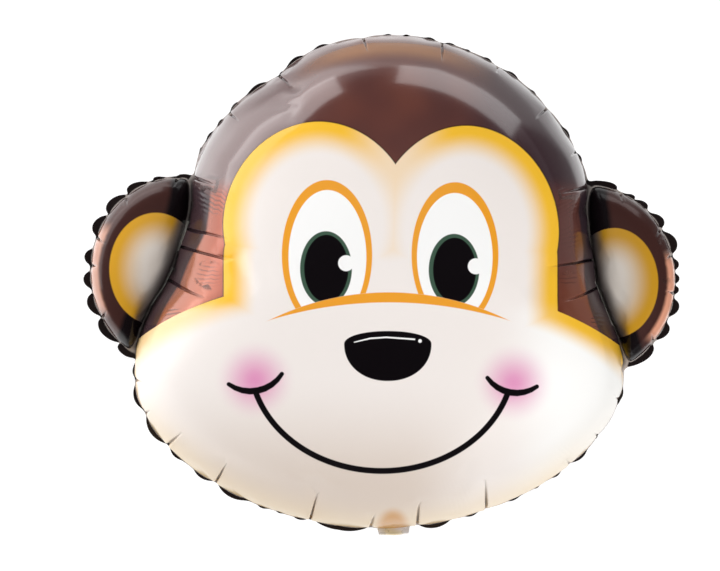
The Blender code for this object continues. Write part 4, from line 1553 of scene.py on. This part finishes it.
def neck_material():
    made, tree, shader = shader_of("neck film")
    where = tree.nodes.new("ShaderNodeTexCoord").outputs["Object"]
    tree.links.new(blend_colours(tree, ramp(tree, noise(tree, where, 60.0), 0.3, 0.7), NECK_CREAM, CREAM),
                   shader.inputs["Base Color"])
    shader.inputs["Metallic"].default_value = 0.35
    tree.links.new(ramp(tree, noise(tree, where, 90.0), 0.3, 0.7, 0.24, 0.36), shader.inputs["Roughness"])
    shader.inputs["Coat Weight"].default_value = 0.6
    bump(tree, shader, noise(tree, where, 120.0), 0.0006)
    return made


neck = neck_object()
neck.data.materials.append(neck_material())
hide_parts("filling_neck")
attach(neck, "root")


# Floor, light and camera
# The camera looks straight down on the face and sees a plain pale floor. In the film's reflections the floor
# is painted brighter and glowing to the left and darker to the right and past the crown, in place of cards
# beside a set. Two soft boxes and three fill lights stand round it, and the room is pale at its sides and
# dark overhead.

FLOOR_HALF = 6.0
FLOOR_WHITE = (0.35, 0.35, 0.35, 1.0)
FLOOR_GREY = (0.12, 0.12, 0.12, 1.0)
FLOOR_GLOW = 0.82
FLOOR_RIGHT = 0.12
FLOOR_TOP = 0.38
FLOOR_LEFT = 2.1
ROOM_PALE = (1.0, 1.0, 1.0, 1.0)
ROOM_DARK = (0.045, 0.038, 0.038, 1.0)
ROOM_RIGHT = (0.240, 0.230, 0.240, 1.0)
ROOM_STRENGTH = 1.0
FAR_SIDE = (0.80, 0.60, 0.0)
FAR_SIDE_FADE = (-0.1, 0.6)
OVERHEAD_FADE = (0.00, 0.18)

# Where the floor that the film mirrors turns darker or brighter, from the middle of the floor
DARK_RIGHT = (0.385, 0.500)
DARK_SLANT = (0.0, 0.25)
DARK_TOP = (0.305, 0.450)
DARK_TOP_SIDE = (-0.40, -0.15)
BRIGHT_LEFT = (0.25, 0.55)
BRIGHT_SLANT = 0.2
PICTURE_WIDTH = 720
SENSOR_WIDTH = 36.0


def studio():
    data = bpy.data.meshes.new("floor")
    corners = [(-1, -1), (1, -1), (1, 1), (-1, 1)]
    data.from_pydata([(x * FLOOR_HALF, y * FLOOR_HALF, 0.0) for x, y in corners], [], [(0, 1, 2, 3)])
    floor = placed("floor", data)
    made, tree, shader = shader_of("floor white")
    shader.inputs["Roughness"].default_value = 0.9
    shader.inputs["Specular IOR Level"].default_value = 0.1
    across, height = parts_of(tree, tree.nodes.new("ShaderNodeTexCoord").outputs["Object"])[:2]
    on_right = product(tree, ramp(tree, across, *DARK_RIGHT),
                       ramp(tree, calc(tree, "SUBTRACT", across, height), *DARK_SLANT))
    on_top = product(tree, ramp(tree, height, *DARK_TOP), ramp(tree, across, *DARK_TOP_SIDE))
    to_left = calc(tree, "SUBTRACT", product(tree, height, BRIGHT_SLANT), across)
    seen = tree.nodes.new("ShaderNodeLightPath").outputs["Is Camera Ray"]
    mirrored = blend_colours(tree, on_right, FLOOR_WHITE, FLOOR_GREY)
    tree.links.new(blend_colours(tree, seen, mirrored, FLOOR_WHITE), shader.inputs["Base Color"])
    glow = product(tree, ramp(tree, on_right, 0.0, 1.0, FLOOR_GLOW, FLOOR_GLOW * FLOOR_RIGHT),
                   ramp(tree, on_top, 0.0, 1.0, 1.0, FLOOR_TOP),
                   ramp(tree, to_left, *BRIGHT_LEFT, 1.0, FLOOR_LEFT))
    glow = ramp(tree, seen, 0.0, 1.0, glow, FLOOR_GLOW, smooth=False)
    tree.links.new(glow, shader.inputs["Emission Color"])
    shader.inputs["Emission Strength"].default_value = 1.0
    data.materials.append(made)

    world = bpy.data.worlds.new("room")
    world.use_nodes = True
    tree = world.node_tree
    direction = tree.nodes.new("ShaderNodeTexCoord").outputs["Generated"]
    far = vector(tree, "DOT_PRODUCT", direction, FAR_SIDE)
    walls = blend_colours(tree, ramp(tree, far, *FAR_SIDE_FADE), ROOM_PALE, ROOM_RIGHT)
    overhead = ramp(tree, parts_of(tree, direction)[2], *OVERHEAD_FADE)
    sky = blend_colours(tree, overhead, walls, ROOM_DARK)
    tree.links.new(sky, tree.nodes["Background"].inputs["Color"])
    tree.nodes["Background"].inputs["Strength"].default_value = ROOM_STRENGTH
    bpy.context.scene.world = world


def soft_box(name, direction, rise, distance, width, height, watts, in_gloss=True):
    """A soft light, by its direction round the face and its rise over the floor, both in degrees."""
    data = bpy.data.lights.new(name, "AREA")
    data.shape = "RECTANGLE"
    data.size = width
    data.size_y = height
    data.energy = watts
    lamp = placed(name, data)
    aim = Vector((top_of_face.x, top_of_face.y, weld_height))
    way, up = math.radians(direction), math.radians(rise)
    out = Vector((math.cos(way) * math.cos(up), math.sin(way) * math.cos(up), math.sin(up)))
    lamp.location = aim + out * distance
    lamp.rotation_euler = (-out).to_track_quat("-Z", "Y").to_euler()
    lamp.visible_glossy = in_gloss


studio()
soft_box("soft box left", 148.0, 9.0, 2.2, 3.9, 1.0, 30)
soft_box("soft box right", 66.0, 6.0, 2.2, 1.7, 0.8, 9)
soft_box("soft light above", 95.0, 72.0, 3.2, 3.0, 3.0, 60, in_gloss=False)
soft_box("low light left", 180.0, 30.0, 2.4, 1.5, 1.0, 16, in_gloss=False)
soft_box("low light right", -40.0, 34.0, 2.4, 1.5, 1.0, 40, in_gloss=False)

camera_data = bpy.data.cameras.new("camera")
camera = placed("camera", camera_data)
axis = picture(*PICTURE_MIDDLE)
camera.location = (top_of_face.x + axis[0], top_of_face.y + axis[1], weld_height + CAMERA_DISTANCE)
camera_data.sensor_fit = "HORIZONTAL"
camera_data.sensor_width = SENSOR_WIDTH
camera_data.lens = SENSOR_WIDTH * CAMERA_DISTANCE / (PICTURE_WIDTH * PIXEL)
camera_data.dof.use_dof = False
bpy.context.scene.camera = camera
bpy.context.scene.view_settings.view_transform = "Standard"
